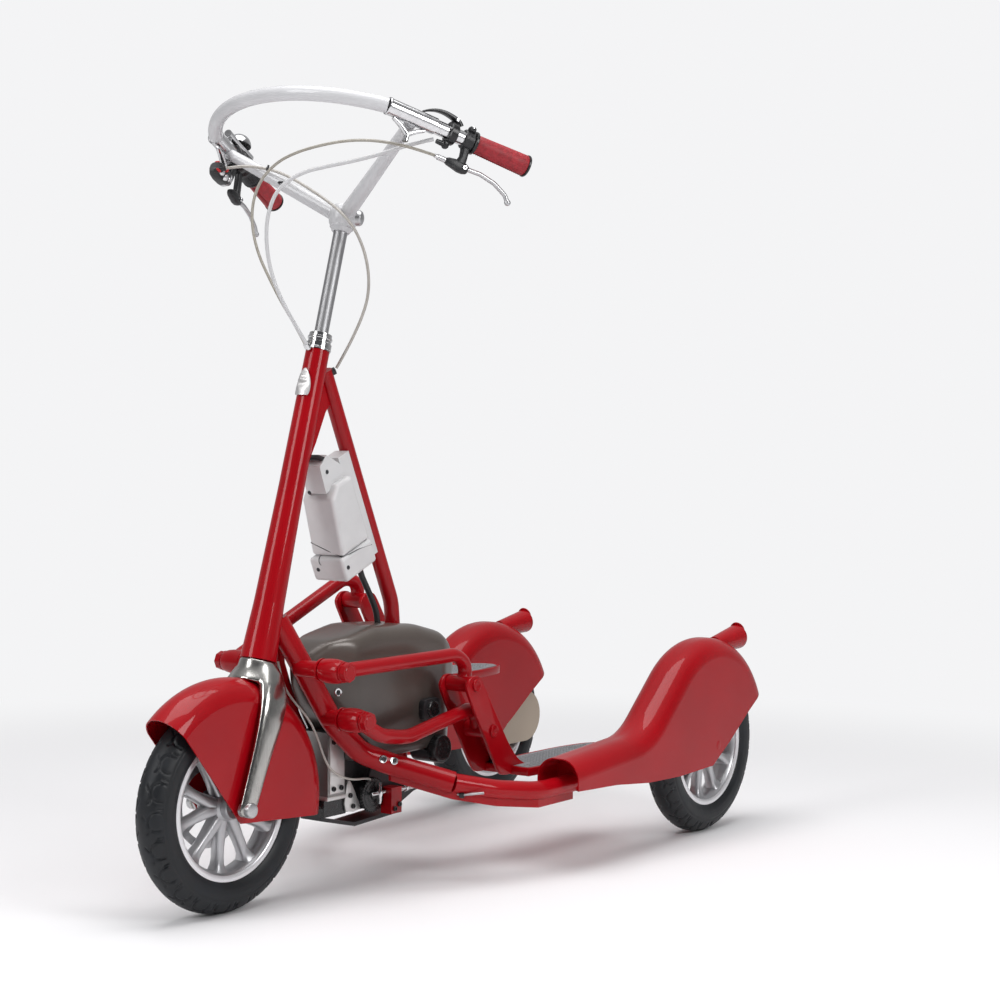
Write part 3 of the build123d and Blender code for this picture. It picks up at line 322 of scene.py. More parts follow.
@dataclass(frozen=True)
class GlossPaint:
    """Stoved gloss paint under a clear coat, with a faint orange peel."""

    name: str
    colour: Colour
    roughness: float = 0.34
    coat: float = 1.0
    sparkle: float = 0.0

    def material(self) -> bpy.types.Material:
        """Mix the paint."""
        recipe = Recipe(self.name)
        cloud = recipe.noise(7.0, 2.0)
        dust = recipe.noise(900.0, 2.0).fade(0.66, 0.78)
        peel = recipe.noise(210.0, 1.0)
        pool = recipe.noise(38.0, 3.0)
        base = recipe.mix(cloud.fade(0.3, 0.75), shade(self.colour, 0.9), shade(self.colour, 1.06))
        base = recipe.mix(dust * 0.03, base, (0.75, 0.7, 0.68, 1.0))
        flake = recipe.noise(2600.0, 1.0).fade(0.4, 0.7) * self.sparkle
        return recipe.finish({
            "Base Color": base,
            "Metallic": flake,
            "Roughness": dust * 0.15 + pool * 0.05 + (self.roughness - 0.025),
            "Coat Weight": self.coat,
            "Coat Roughness": 0.045,
            "Coat IOR": 1.45,
            "Specular IOR Level": 0.08,
            "Normal": recipe.bump(peel, 0.00004, 0.35),
        })


@dataclass(frozen=True)
class PolishedMetal:
    """Bright metal with fine polishing lines and finger smudges."""

    name: str
    colour: Colour
    roughness: float
    lines: Place = (700, 700, 18)
    line_depth: float = 0.00002
    tilt: float = 0.0

    def material(self) -> bpy.types.Material:
        """Mix the metal."""
        recipe = Recipe(self.name)
        lines = recipe.noise(1, 3, recipe.place(self.lines, turn=(0, self.tilt, 0)))
        smudge = recipe.noise(26.0, 4.0).fade(0.48, 0.8)
        pits = recipe.noise(1500.0, 1.0).fade(0.72, 0.8)
        base = recipe.mix(lines.fade(0.3, 0.7), shade(self.colour, 0.9), shade(self.colour, 1.04))
        base = recipe.mix(pits * 0.25, base, shade(self.colour, 0.45))
        return recipe.finish({
            "Base Color": base,
            "Metallic": 1.0,
            "Roughness": smudge * 0.09 + lines * 0.1 + (self.roughness - 0.05),
            "Normal": recipe.bump(lines, self.line_depth, 0.5),
        })


@dataclass(frozen=True)
class CastMetal:
    """Silver lacquered casting with a fine sand skin."""

    name: str
    colour: Colour
    roughness: float = 0.36
    metallic: float = 0.75

    def material(self) -> bpy.types.Material:
        """Mix the lacquer."""
        recipe = Recipe(self.name)
        sand = recipe.noise(1400.0, 2.0)
        cloud = recipe.noise(30.0, 3.0)
        grime = recipe.noise(60.0, 4.0).fade(0.55, 0.85)
        base = recipe.mix(cloud, shade(self.colour, 0.88), shade(self.colour, 1.05))
        base = recipe.mix(grime * 0.2, base, shade(self.colour, 0.55))
        return recipe.finish({
            "Base Color": base,
            "Metallic": self.metallic,
            "Roughness": sand * 0.12 + (self.roughness - 0.06),
            "Normal": recipe.bump(sand, 0.00006, 0.5),
        })


@dataclass(frozen=True)
class MouldedPlastic:
    """Moulded plastic or rubber with a spark-eroded grain."""

    name: str
    colour: Colour
    roughness: float = 0.45
    grain: float = 1100.0
    grain_depth: float = 0.00005
    wear: float = 0.12

    def material(self) -> bpy.types.Material:
        """Mix the plastic."""
        recipe = Recipe(self.name)
        grain = recipe.cells(self.grain)
        cloud = recipe.noise(22.0, 3.0)
        scuff = recipe.noise(1, 3, recipe.place((260, 60, 130))).fade(0.62, 0.8)
        base = recipe.mix(cloud, shade(self.colour, 0.85), shade(self.colour, 1.1))
        base = recipe.mix(scuff * self.wear, base, (0.55, 0.55, 0.55, 1.0))
        return recipe.finish({
            "Base Color": base,
            "Roughness": scuff * 0.15 + grain * 0.08 + (self.roughness - 0.04),
            "Specular IOR Level": 0.45,
            "Normal": recipe.bump(grain, self.grain_depth, 0.6),
        })


@dataclass(frozen=True)
class TyreRubber:
    """Black tyre rubber with mould lines and a dry bloom."""

    name: str
    colour: Colour

    def material(self) -> bpy.types.Material:
        """Mix the rubber."""
        recipe = Recipe(self.name)
        bloom = recipe.noise(34.0, 5.0, rough=0.6).fade(0.4, 0.8)
        grit = recipe.noise(1300.0, 2.0)
        base = recipe.mix(bloom, shade(self.colour, 0.8), shade(self.colour, 1.7))
        return recipe.finish({
            "Base Color": base,
            "Roughness": bloom * 0.18 + grit * 0.08 + 0.4,
            "Specular IOR Level": 0.42,
            "Normal": recipe.bump(grit, 0.00009, 0.5),
        })


@dataclass(frozen=True)
class StitchedLeather:
    """Red leather with pores and creases."""

    name: str
    colour: Colour

    def material(self) -> bpy.types.Material:
        """Mix the leather."""
        recipe = Recipe(self.name)
        pores = recipe.cells(720.0, "SMOOTH_F1")
        creases = recipe.noise(160.0, 5.0, rough=0.62)
        rubbed = recipe.noise(30.0, 3.0).fade(0.45, 0.8)
        base = recipe.mix(creases.fade(0.3, 0.7), shade(self.colour, 0.7), shade(self.colour, 1.12))
        base = recipe.mix(rubbed * 0.25, base, shade(self.colour, 1.5))
        relief = pores * 0.6 + creases * 0.8
        return recipe.finish({
            "Base Color": base,
            "Roughness": creases * 0.2 + rubbed * -0.1 + 0.42,
            "Specular IOR Level": 0.4,
            "Normal": recipe.bump(relief, 0.00022, 0.55),
        })


@dataclass(frozen=True)
class CableSleeve:
    """The outer of a control cable, braided or plain."""

    name: str
    colour: Colour
    shadow: Colour
    turns: float
    around: float
    relief: float

    def material(self) -> bpy.types.Material:
        """Mix the sleeve."""
        recipe = Recipe(self.name)
        along, across, _ = recipe.parts(recipe.coordinate("UV"))
        left = (along * self.turns + across * self.around).sine()
        right = (along * self.turns - across * self.around).sine()
        weave = (left * right) * 0.5 + 0.5
        soil = recipe.noise(45.0, 4.0).fade(0.45, 0.85)
        base = recipe.mix(weave.fade(0.2, 0.7), self.shadow, self.colour)
        base = recipe.mix(soil * 0.2, base, shade(self.shadow, 0.8))
        return recipe.finish({
            "Base Color": base,
            "Roughness": soil * 0.12 + 0.38,
            "Coat Weight": 0.25,
            "Normal": recipe.bump(weave, self.relief, 0.6),
        })


@dataclass(frozen=True)
class SmokedShell:
    """The drive cover's satin shell, warm grey and slightly cloudy like smoked resin, with painted shade that darkens
    it towards the bottom.
    """

    name: str
    colour: Colour
    # painted shade: the colour that the lower part of the shell is darkened to
    shaded_colour: Colour

    def material(self) -> bpy.types.Material:
        """Mix the shell."""
        recipe = Recipe(self.name)
        _, _, height = recipe.parts(recipe.place())
        cloud = recipe.noise(9.0, 4.0, rough=0.6)
        mist = recipe.noise(3.2, 2.0)
        grain = recipe.noise(1700.0, 2.0)
        # painted light and shade: by height, the shell is lighter towards the top and darker towards the bottom
        top_lit_share = height.fade(0.20, 0.42)
        base = recipe.mix(top_lit_share * 0.75 + cloud * 0.25, self.shaded_colour, self.colour)
        base = recipe.mix(mist.fade(0.4, 0.75) * 0.45, base, shade(self.colour, 1.3))
        return recipe.finish({
            "Base Color": base,
            "Metallic": 0.25,
            "Roughness": cloud * 0.1 + 0.3,
            "Coat Weight": 0.5,
            "Coat Roughness": 0.22,
            "Normal": recipe.bump(grain, 0.00004, 0.4),
        })


class Finish(Enum):
    """Every finish on the machine."""

    RED = GlossPaint("red_gloss_paint", (0.345, 0.0012, 0.0055, 1.0), 0.4, 0.5)
    PEARL = GlossPaint("pearl_grey_paint", (0.61, 0.61, 0.625, 1.0), 0.36, 0.6, 0.1)
    WHITE_CASE = MouldedPlastic("battery_white_case", (0.66, 0.655, 0.66, 1.0), 0.38, 1500.0, 0.00003, 0.05)
    FORK = PolishedMetal("polished_fork_alloy", (0.46, 0.45, 0.43, 1), 0.2, (520, 520, 14), tilt=-0.27)
    COLUMN = PolishedMetal("brushed_column_steel", (0.4, 0.4, 0.41, 1), 0.46, (900, 900, 10), tilt=-0.27)
    CHROME = PolishedMetal("chrome_plate", (0.7, 0.7, 0.71, 1), 0.13, (120, 120, 120), 0.000002)
    SATIN_STEEL = PolishedMetal("satin_steel", (0.52, 0.52, 0.53, 1), 0.34, (500, 500, 500), 0.00003)
    CAST = CastMetal("cast_silver_wheel", (0.5, 0.5, 0.515, 1.0))
    RIM_LIP = CastMetal("bright_rim_lip", (0.8, 0.79, 0.81, 1.0), 0.3, 0.55)
    MOTOR = CastMetal("grey_anodised_motor", (0.3, 0.295, 0.29, 1.0), 0.42, 0.8)
    PLATE = CastMetal("pale_alloy_plate", (0.66, 0.65, 0.64, 1.0), 0.4, 0.7)
    BLACK = MouldedPlastic("black_moulding", (0.016, 0.016, 0.018, 1.0), 0.4)
    BLACK_GLOSS = MouldedPlastic("black_gloss_moulding", (0.012, 0.012, 0.013, 1.0), 0.26, 1600.0, 0.00002)
    DARK_RUBBER = MouldedPlastic("dark_rubber", (0.028, 0.03, 0.034, 1.0), 0.55, 900.0)
    RED_BUTTON = MouldedPlastic("red_button", (0.5, 0.01, 0.012, 1.0), 0.35)
    TYRE = TyreRubber("tyre_rubber", (0.006, 0.0075, 0.01, 1.0))
    TREAD = MouldedPlastic("grey_tread_rubber", (0.2, 0.205, 0.215, 1.0), 0.6, 800.0, 0.00008, 0.25)
    LEATHER = StitchedLeather("red_grip_leather", (0.33, 0.016, 0.024, 1.0))
    THREAD = MouldedPlastic("seam_thread", (0.22, 0.012, 0.015, 1.0), 0.7, 2500.0, 0.00008)
    BRAID = CableSleeve("braided_cable_sleeve", (0.46, 0.43, 0.38, 1), (0.22, 0.2, 0.16, 1), 1500, 19, 0.0002)
    PALE_BRAID = CableSleeve("pale_cable_sleeve", (0.5, 0.48, 0.45, 1), (0.28, 0.25, 0.22, 1), 1300, 19, 0.00015)
    GREY_SLEEVE = CableSleeve("grey_shift_sleeve", (0.6, 0.6, 0.61, 1), (0.5, 0.5, 0.51, 1), 700, 0, 0.00004)
    # the second colour of each smoked finish is painted shade for the lower part
    SHELL = SmokedShell("smoked_drive_shell", (0.115, 0.094, 0.08, 1.0), (0.03, 0.026, 0.025, 1.0))
    CASE = SmokedShell("sand_drive_case", (0.45, 0.37, 0.28, 1.0), (0.3, 0.24, 0.18, 1.0))
    SHIELD = PolishedMetal("bare_shield_metal", (0.72, 0.71, 0.71, 1), 0.5, (240, 900, 240), 0.00003)


class Palette:
    """Mixes each finish once and hands it out."""

    def __init__(self) -> None:
        """Start with nothing mixed."""
        self.mixed: dict[Finish, bpy.types.Material] = {}

    def material(self, finish: Finish) -> bpy.types.Material:
        """Return a finish's material."""
        if finish not in self.mixed:
            self.mixed[finish] = finish.value.material()
        return self.mixed[finish]


class Shape:
    """A mesh drawn in millimetres with Blender's mesh operators."""

    def __init__(self) -> None:
        """Start an empty mesh."""
        self.bm = bmesh.new()

    def lathe(self, profile: Sequence[Flat], steps: int = 40, closed: bool = False) -> "Shape":
        """Spin a profile of radius and height about Z.

        Args:
            profile: the places of the profile, each a radius and a height.
            steps: how many steps the full turn has.
            closed: whether the profile's last place joins its first.

        Returns:
            The same shape.
        """
        verts = [self.bm.verts.new((radius, 0.0, height)) for radius, height in profile]
        edges = [self.bm.edges.new(ends) for ends in zip(verts, verts[1:])]
        if closed:
            edges.append(self.bm.edges.new((verts[-1], verts[0])))
        bmesh.ops.spin(
            self.bm, geom=verts + edges, cent=(0, 0, 0), axis=(0, 0, 1), angle=math.tau, steps=steps, use_merge=True
        )
        bmesh.ops.remove_doubles(self.bm, verts=self.bm.verts[:], dist=1e-5)
        return self

    def slab(self, outline: Iterable[Flat], thickness: float) -> "Shape":
        """Extrude a flat outline upwards from Z zero."""
        face = self.bm.faces.new([self.bm.verts.new((x, y, 0.0)) for x, y in outline])
        grown = bmesh.ops.extrude_face_region(self.bm, geom=[face])["geom"]
        verts = [item for item in grown if isinstance(item, bmesh.types.BMVert)]
        bmesh.ops.translate(self.bm, verts=verts, vec=(0, 0, thickness))
        return self

    def prism(self, sides: int, radius: float, height: float) -> "Shape":
        """Extrude a regular polygon upwards from Z zero."""
        return self.slab(ring_places(sides, radius), height)

    def box(self, x: float, y: float, z: float) -> "Shape":
        """Make a block centred on zero."""
        verts = bmesh.ops.create_cube(self.bm, size=1.0)["verts"]
        bmesh.ops.scale(self.bm, verts=verts, vec=(x, y, z))
        return self

    def soften(self, width: float, segments: int = 2, angle: float = 30.0) -> "Shape":
        """Round every edge that is sharper than an angle."""
        limit = math.radians(angle)
        sharp = [edge for edge in self.bm.edges if edge.is_manifold and edge.calc_face_angle(0.0) > limit]
        bmesh.ops.bevel(
            self.bm, geom=sharp, offset=width, offset_type="OFFSET", segments=segments, profile=0.5, affect="EDGES",
            material=-1, clamp_overlap=True,
        )
        return self

    def loft(self, rings: Sequence[Sequence[Place]]) -> "Shape":
        """Bridge rings of places into one closed skin, capped at both ends.

        Args:
            rings: the rings in order, all with the same number of places.

        Returns:
            The same shape.
        """
        loops = []
        for ring in rings:
            verts = [self.bm.verts.new(place) for place in ring]
            loops.append([self.bm.edges.new(ends) for ends in zip(verts, verts[1:] + verts[:1])])
        for first, second in zip(loops, loops[1:]):
            bmesh.ops.bridge_loops(self.bm, edges=first + second)
        for loop in (loops[0], loops[-1]):
            bmesh.ops.edgeloop_fill(self.bm, edges=loop)
        return self

    def limb(
        self, stations: Sequence[Station], side: Sequence[float], square: float = 2.0, count: int = 16
    ) -> "Shape":
        """Run a rounded bar through a line of stations.

        Args:
            stations: each a place, a half width along the side direction and a half depth across it.
            side: the direction that the half widths are measured along.
            square: 2 for an oval section, more for a squarer one.
            count: how many places each ring has.

        Returns:
            The same shape.
        """
        lean = Vector(side)
        centres = [Vector(place) for place, _, _ in stations]
        rings = []
        for number, (_, half_width, half_depth) in enumerate(stations):
            before, after = centres[max(number - 1, 0)], centres[min(number + 1, len(centres) - 1)]
            run = (after - before).normalized()
            across = (lean - run * run.dot(lean)).normalized()
            deep = run.cross(across)
            outline = rounded(count, half_width, half_depth, square)
            rings.append([centres[number] + across * x + deep * y for x, y in outline])
        return self.loft(rings)

    def ease(self, times: int) -> "Shape":
        """Smooth the mesh a number of times."""
        verts = self.bm.verts[:]
        for _ in range(times):
            bmesh.ops.smooth_vert(self.bm, verts=verts, factor=0.5, use_axis_x=True, use_axis_y=True, use_axis_z=True)
        return self

    def moved(self, matrix: Matrix) -> "Shape":
        """Move, turn or scale the whole shape."""
        bmesh.ops.transform(self.bm, matrix=matrix, verts=self.bm.verts[:])
        return self

    def shift(self, x: float, y: float, z: float) -> "Shape":
        """Move the whole shape."""
        return self.moved(Matrix.Translation((x, y, z)))

    def join(self, other: "Shape", matrix: Matrix | None = None) -> "Shape":
        """Add a copy of another shape, put in place by a matrix."""
        mesh = bpy.data.meshes.new("joining")
        other.bm.to_mesh(mesh)
        if matrix is not None:
            mesh.transform(matrix)
        self.bm.from_mesh(mesh)
        bpy.data.meshes.remove(mesh)
        return self


def rounded(count: int, half_width: float, half_depth: float, square: float) -> list[Flat]:
    """Return the places of an oval, or of a squarer rounded outline."""
    power = 2.0 / square
    return [
        (math.copysign(abs(x) ** power, x) * half_width, math.copysign(abs(y) ** power, y) * half_depth)
        for x, y in ring_places(count, 1.0, math.pi / count)
    ]


class Machine:
    """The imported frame, the palette and the way pieces are put on them."""

    def __init__(self, frame: dict) -> None:
        """Keep the loaded frame."""
        self.frame = frame
        self.palette = Palette()
        self.dressed: set[str] = set()

    def dress(self, finish: Finish, *nodes: str) -> None:
        """Give CAD nodes a finish."""
        for node in nodes:
            thing = self.frame["nodes"][node]
            thing.data.materials.clear()
            thing.data.materials.append(self.palette.material(finish))
            self.dressed.add(node)

    def put(self, name: str, shape: Shape, finish: Finish, body: str, smooth: float = 32.0, hides: str = "") -> None:
        """Turn a finished shape into a piece that rides on a body.

        Args:
            name: the piece's name.
            shape: the shape, in the part's metres.
            finish: what it is made of.
            body: the body that it moves with.
            smooth: edges sharper than this many degrees stay crisp.
            hides: the CAD node that it stands in for, if any.
        """
        bmesh.ops.recalc_face_normals(shape.bm, faces=shape.bm.faces[:])
        mesh = bpy.data.meshes.new(name)
        shape.bm.to_mesh(mesh)
        shape.bm.free()
        mesh.shade_smooth()
        mesh.set_sharp_from_angle(angle=math.radians(smooth))
        piece = bpy.data.objects.new(name, mesh)
        bpy.context.scene.collection.objects.link(piece)
        mesh.materials.append(self.palette.material(finish))
        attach(piece, body)
        if hides:
            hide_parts(hides)
            self.dressed.add(hides)
        log.info("%s on %s, %d faces", name, body, len(mesh.polygons))

    @staticmethod
    def fuse(shape: Shape, voxel: float) -> Shape:
        """Run a shape's overlapping forms together into one even skin, with its cells' size in millimetres."""
        mesh = bpy.data.meshes.new("fusing")
        shape.bm.to_mesh(mesh)
        shape.bm.free()
        source = bpy.data.objects.new("fusing", mesh)
        bpy.context.scene.collection.objects.link(source)
        remesh = source.modifiers.new("skin", "REMESH")
        remesh.mode = "VOXEL"
        remesh.voxel_size = voxel * MM
        graph = bpy.context.evaluated_depsgraph_get()
        skin = bpy.data.meshes.new_from_object(source.evaluated_get(graph))
        fused = Shape()
        fused.bm.from_mesh(skin)
        bpy.data.objects.remove(source)
        bpy.data.meshes.remove(skin)
        return fused

    def recast(self, node: str, name: str, finish: Finish, voxel: float, times: int) -> None:
        """Replace a CAD node by the same form with its joints run together softly.

        Args:
            node: the CAD node whose form is copied.
            name: the new piece's name.
            finish: what it is made of.
            voxel: the size of the new skin's mesh, in millimetres.
            times: how often the new skin is smoothed.
        """
        thing = self.frame["nodes"][node]
        copy = Shape()
        copy.bm.from_mesh(thing.data)
        bmesh.ops.remove_doubles(copy.bm, verts=copy.bm.verts[:], dist=1e-6)
        self.put(name, self.fuse(copy, voxel).ease(times), finish, body_of(thing)[0], 60.0, node)

    def wire(
        self, name: str, route: Sequence[Place], radius: float, finish: Finish, body: str
    ) -> bpy.types.Object:
        """Lay a round wire on a smooth line.

        Args:
            name: the piece's name.
            route: its control points, in millimetres from the rear axle's ground point.
            radius: the wire's radius in millimetres.
            finish: what it is made of.
            body: the body that it moves with.

        Returns:
            The new curve object.
        """
        curve = bpy.data.curves.new(name, "CURVE")
        curve.dimensions = "3D"
        curve.bevel_depth = radius * MM
        curve.bevel_resolution = 5
        curve.resolution_u = 10
        curve.use_fill_caps = True
        spline = curve.splines.new("NURBS")
        spline.points.add(len(route) - 1)
        for point, place in zip(spline.points, route):
            point.co = (*at(*place), 1.0)
        spline.order_u = 3
        spline.use_endpoint_u = True
        spline.use_smooth = True
        curve.materials.append(self.palette.material(finish))
        piece = bpy.data.objects.new(name, curve)
        bpy.context.scene.collection.objects.link(piece)
        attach(piece, body)
        log.info("%s on %s", name, body)
        return piece


@dataclass
class Assembly:
    """Pieces that are put on the machine together."""

    machine: Machine


@dataclass
class ControlCables(Assembly):
    """The free control cables between the handlebar, the headset and the strut."""

    brake_radius: float = 2.3
    shift_radius: float = 3.0
    throttle_radius: float = 2.4
    brake_route: tuple[Place, ...] = (
        (757, 218, 1135), (781, 199, 1144), (802, 167, 1153), (812, 128, 1159), (822, 89, 1159), (831, 50, 1154),
        (836, 11, 1147), (838, -27, 1135), (845, -56, 1109), (852, -67, 1071), (851, -67, 1031), (844, -60, 992),
        (832, -48, 956), (820, -34, 920), (807, -18, 886), (794, -8, 856),
    )
    shift_route: tuple[Place, ...] = (
        (758, 217, 1159), (775, 187, 1152), (795, 150, 1139), (812, 109, 1129), (830, 70, 1122), (848, 31, 1113),
        (863, -4, 1090), (869, -19, 1050), (866, -24, 1006), (858, -21, 962), (843, -13, 921), (819, -6, 884),
        (799, 0, 855),
    )
    throttle_route: tuple[Place, ...] = (
        (790, -183, 1143), (774, -163, 1147), (757, -141, 1145), (745, -113, 1138), (741, -82, 1124), (742, -49, 1107),
        (741, -16, 1088), (740, 16, 1067), (735, 42, 1039), (729, 57, 1005), (723, 62, 969), (720, 59, 932),
        (726, 50, 897), (731, 35, 865), (735, 22, 841), (742, 12, 819),
    )

    def build(self) -> None:
        """Lay the three cables."""
        self._lay("brake_line", self.brake_route, self.brake_radius, Finish.BRAID, "brake_cable", 0.584)
        self._lay("shift_line", self.shift_route, self.shift_radius, Finish.GREY_SLEEVE, "shift_cable", 0.511)
        self._lay("throttle_line", self.throttle_route, self.throttle_radius, Finish.PALE_BRAID, "control_cable", 0.506)

    def _lay(self, name: str, route: Sequence[Place], radius: float, finish: Finish, node: str, length: float) -> None:
        line = self.machine.wire(name, route, radius, finish, "steering")
        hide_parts(node)


@dataclass
class Chassis(Assembly):
    """The painted frame, its fenders and the parts fixed to them."""

    coats: tuple[tuple[Finish, tuple[str, ...]], ...] = (
        (Finish.RED, (
            "head_tube", "down_tubes", "rails", "rail_bands", "cross_tube", "strut", "rear_fender_left",
            "rear_fender_right", "rear_stays", "tail_horns", "front_fender", "pivot_stubs", "upper_arm_left",
            "upper_arm_right", "lower_arm_left", "lower_arm_right", "hanger_block",
        )),
        (Finish.SATIN_STEEL, ("front_axle", "rear_axles", "brake_rotor", "brake_levers")),
        (Finish.COLUMN, ("steering_column",)),
        (Finish.CHROME, ("headset_collar", "sleeves", "bar_ends", "bell")),
        (Finish.PEARL, ("loop_bar", "stem")),
        (Finish.BLACK, (
            "cable_grommet", "drive_hanger", "battery_cable", "belt_guard", "gear_drum", "cover_guides", "pedal_stops",
        )),
        (Finish.WHITE_CASE, ("battery", "battery_dock", "battery_bracket")),
        (Finish.CASE, ("drive_case",)),
        (Finish.MOTOR, ("motor_box",)),
        (Finish.BLACK_GLOSS, ("motor_base",)),
        (Finish.TREAD, ("tread_left", "tread_right")),
    )

    def build(self) -> None:
        """Dress the CAD nodes and recast the drive cover."""
        self.machine.recast("drive_cover", "moulded_drive_cover", Finish.SHELL, 3.5, 26)
        for finish, nodes in self.coats:
            self.machine.dress(finish, *nodes)


@dataclass
class Wheels(Assembly):
    """The tyres with their tread and the cast wheels."""

    half_track: float = 244.8
    wheel_base: float = 983.6
    centre_height: float = 159.0
    section_radius: float = 131.0
    half_width: float = 28.0
    steps: int = 560
    periods: int = 22
    groove_depth: float = 2.0
    crescent_radius: float = 14.5
    crescent_shift: float = 27.0
    crescent_edge: float = 8.0
    strokes: tuple[tuple[Flat, Flat, float, float], ...] = (
        ((10, 16), (17.5, 12), 1.7, 1), ((-7, 4.5), (-1, 9.5), 1.2, 0.8),
        ((-20, 25), (-20, 33), 1.2, 0.7),
    )
    crescent_line: float = 1.5
    crescent_fade: float = 6.0
    shoulder_line: float = 38.5
    shoulder_share: float = 0.4
    thin_line: float = 0.9
    wall_steps: int = 8
    wall_turn: float = 41.4
    wall_drop: float = 33.3
    wall_ridges: tuple[int, int] = (2, 4)
    ridge_height: float = 0.5
    crown_steps: int = 60
    well: tuple[Flat, Flat] = ((107.5, -15.0), (107.5, 15.0))
    spoke_pairs: int = 5
    spoke: tuple[tuple[float, float, float, float], ...] = (
        (16, 6, 9.5, 12), (28, 12, 9.8, 11.8), (44, 14.6, 8.8, 10.4), (60, 16.2, 8, 9.4),
        (76, 17.2, 7.8, 9.2), (86, 17.6, 8.8, 10.4), (92.5, 17.8, 11.4, 12.5), (97.5, 17.9, 15, 15.5),
    )

    def build(self) -> None:
        """Make the three tyres, wheels and pairs of rim lips, and the rear hub caps."""
        tyre, wheel = self._tyre(), self._wheel()
        front = turned(WHEEL_STEER) @ seat((self.wheel_base, 0.0, self.centre_height), ACROSS)
        left = seat((0.0, self.half_track, self.centre_height), ACROSS)
        right = seat((0.0, -self.half_track, self.centre_height), -ACROSS)
        places = (
            ("front", "front_tyre", front, "front_wheel"), ("rear_left", "rear_tyre_left", left, "rear_wheel_left"),
            ("rear_right", "rear_tyre_right", right, "rear_wheel_right"),
        )
        for name, rubber, matrix, body in places:
            self.machine.put(f"{name}_treaded_tyre", Shape().join(tyre, matrix), Finish.TYRE, body, 45.0, rubber)
            self.machine.put(f"{name}_cast_wheel", Shape().join(wheel, matrix), Finish.CAST, body, 40.0, body)
            self.machine.put(f"{name}_rim_lips", self._lip().moved(matrix), Finish.RIM_LIP, body, 40.0)
            if name != "front":
                self.machine.put(f"{name}_hub_cap", self._axle_end().moved(matrix), Finish.SATIN_STEEL, body)

    def _groove(self, along: float, arc: float) -> float:
        """Return how deep the tread is cut.

        Args:
            along: the place around the tyre, in millimetres at the crown.
            arc: the place across the tread, in millimetres of arc from the crown.

        Returns:
            The depth in millimetres.
        """
        pitch = math.tau * (self.section_radius + self.half_width) / self.periods
        offset = along + (pitch / 2 if arc < 0 else 0.0)
        local = (offset / pitch) % 1.0 * pitch - pitch / 2
        across = abs(arc) - self.crescent_shift
        cut = 0.0
        far = math.hypot(local, across)
        if across < self.crescent_edge and far < 2 * self.crescent_radius:
            ring = self._dip(abs(far - self.crescent_radius), self.crescent_line)
            cut = ring * min(1.0, (self.crescent_edge - across) / self.crescent_fade)
        for start, end, half, share in self.strokes:
            cut = max(cut, share * self._dip(self._segment(local, abs(arc), start, end), half))
        shoulder = self.shoulder_share * self._dip(abs(abs(arc) - self.shoulder_line), self.thin_line)
        return max(cut, shoulder) * self.groove_depth

    @staticmethod
    def _dip(distance: float, half: float) -> float:
        """Return 1 on a line and 0 away from it, with a smooth flank."""
        share = min(max((half + 0.9 - distance) / 1.5, 0.0), 1.0)
        return share * share * (3.0 - 2.0 * share)

    @staticmethod
    def _segment(x: float, y: float, start: Flat, end: Flat) -> float:
        """Return the distance from a place to a short line."""
        run = Vector(end) - Vector(start)
        offset = Vector((x, y)) - Vector(start)
        share = min(max(offset.dot(run) / run.length_squared, 0.0), 1.0)
        return (offset - run * share).length

    def _tyre(self) -> Shape:
        """Spin the tyre and cut its tread."""
        low = []
        for number in range(self.wall_steps):
            turn = math.radians(self.wall_turn * (1 - number / self.wall_steps))
            ridge = self.ridge_height if number in self.wall_ridges else 0.0
            height = self.half_width * math.cos(turn) + ridge
            low.append((self.section_radius - self.wall_drop * math.sin(turn), height))
        profile = list(low)
        for number in range(self.crown_steps + 1):
            turn = math.pi / 2 - math.pi * number / self.crown_steps
            profile.append((self.section_radius + self.half_width * math.cos(turn), self.half_width * math.sin(turn)))
        profile += [(radius, -height) for radius, height in reversed(low)]
        profile += self.well
        shape = Shape().lathe(profile, self.steps, closed=True)
        for vert in shape.bm.verts:
            radius = math.hypot(vert.co.x, vert.co.y)
            if radius < self.section_radius - 0.5:
                continue
            turn = math.atan2(vert.co.z, radius - self.section_radius)
            around = math.atan2(vert.co.y, vert.co.x)
            depth = self._groove(around * (self.section_radius + self.half_width), turn * self.half_width)
            if depth > 0.01:
                inward = depth * math.cos(turn)
                vert.co -= Vector((inward * math.cos(around), inward * math.sin(around), depth * math.sin(turn)))
        return shape

    def _lip(self) -> Shape:
        """Spin the bright lips of the rim."""
        ring = ((101, 17), (100.4, 20.4), (102, 21.8), (108, 22.2), (110.6, 21.2), (110.8, 18.5), (107, 17))
        lips = Shape()
        for side in (1, -1):
            lips.lathe([(radius, side * height) for radius, height in ring], 120, closed=True)
        return lips

    def _wheel(self) -> Shape:
        """Build the rim barrel, the five pairs of spokes and the hub."""
        rim = [
            (109, 19), (108.5, 15), (104, 9), (103, 0), (104, -9), (108.5, -15), (109, -19),
            (102.5, -19.5), (98.5, -16), (95, -10), (94, 0), (95, 10), (98.5, 16), (102.5, 19.5),
        ]
        wheel = Shape().lathe(rim, 120, closed=True)
        hub = [
            (8, 27), (15.5, 27), (17, 25), (17.5, 15), (22, 11), (23, 4), (23, -4),
            (22, -11), (17.5, -15), (17, -25), (15.5, -27), (8, -27),
        ]
        wheel.join(Shape().lathe(hub, 48, closed=True))
        for pair in range(self.spoke_pairs):
            for side in (1, -1):
                run = []
                for radius, degrees, half_width, half_depth in self.spoke:
                    turn = math.radians(degrees * side)
                    run.append(((radius * math.cos(turn), radius * math.sin(turn), 0.0), half_width, half_depth))
                spoke = Shape().limb(run, ACROSS, 3.2, 20)
                wheel.join(spoke, Matrix.Rotation(math.tau * pair / self.spoke_pairs + 0.2, 4, "Z"))
        return wheel

    def _axle_end(self) -> Shape:
        """Spin the cap on the outer end of a rear axle."""
        cap = [(0, 31), (6, 31), (9, 29.6), (10, 27.5), (10, 24), (0, 24)]
        return Shape().lathe(cap, 36)


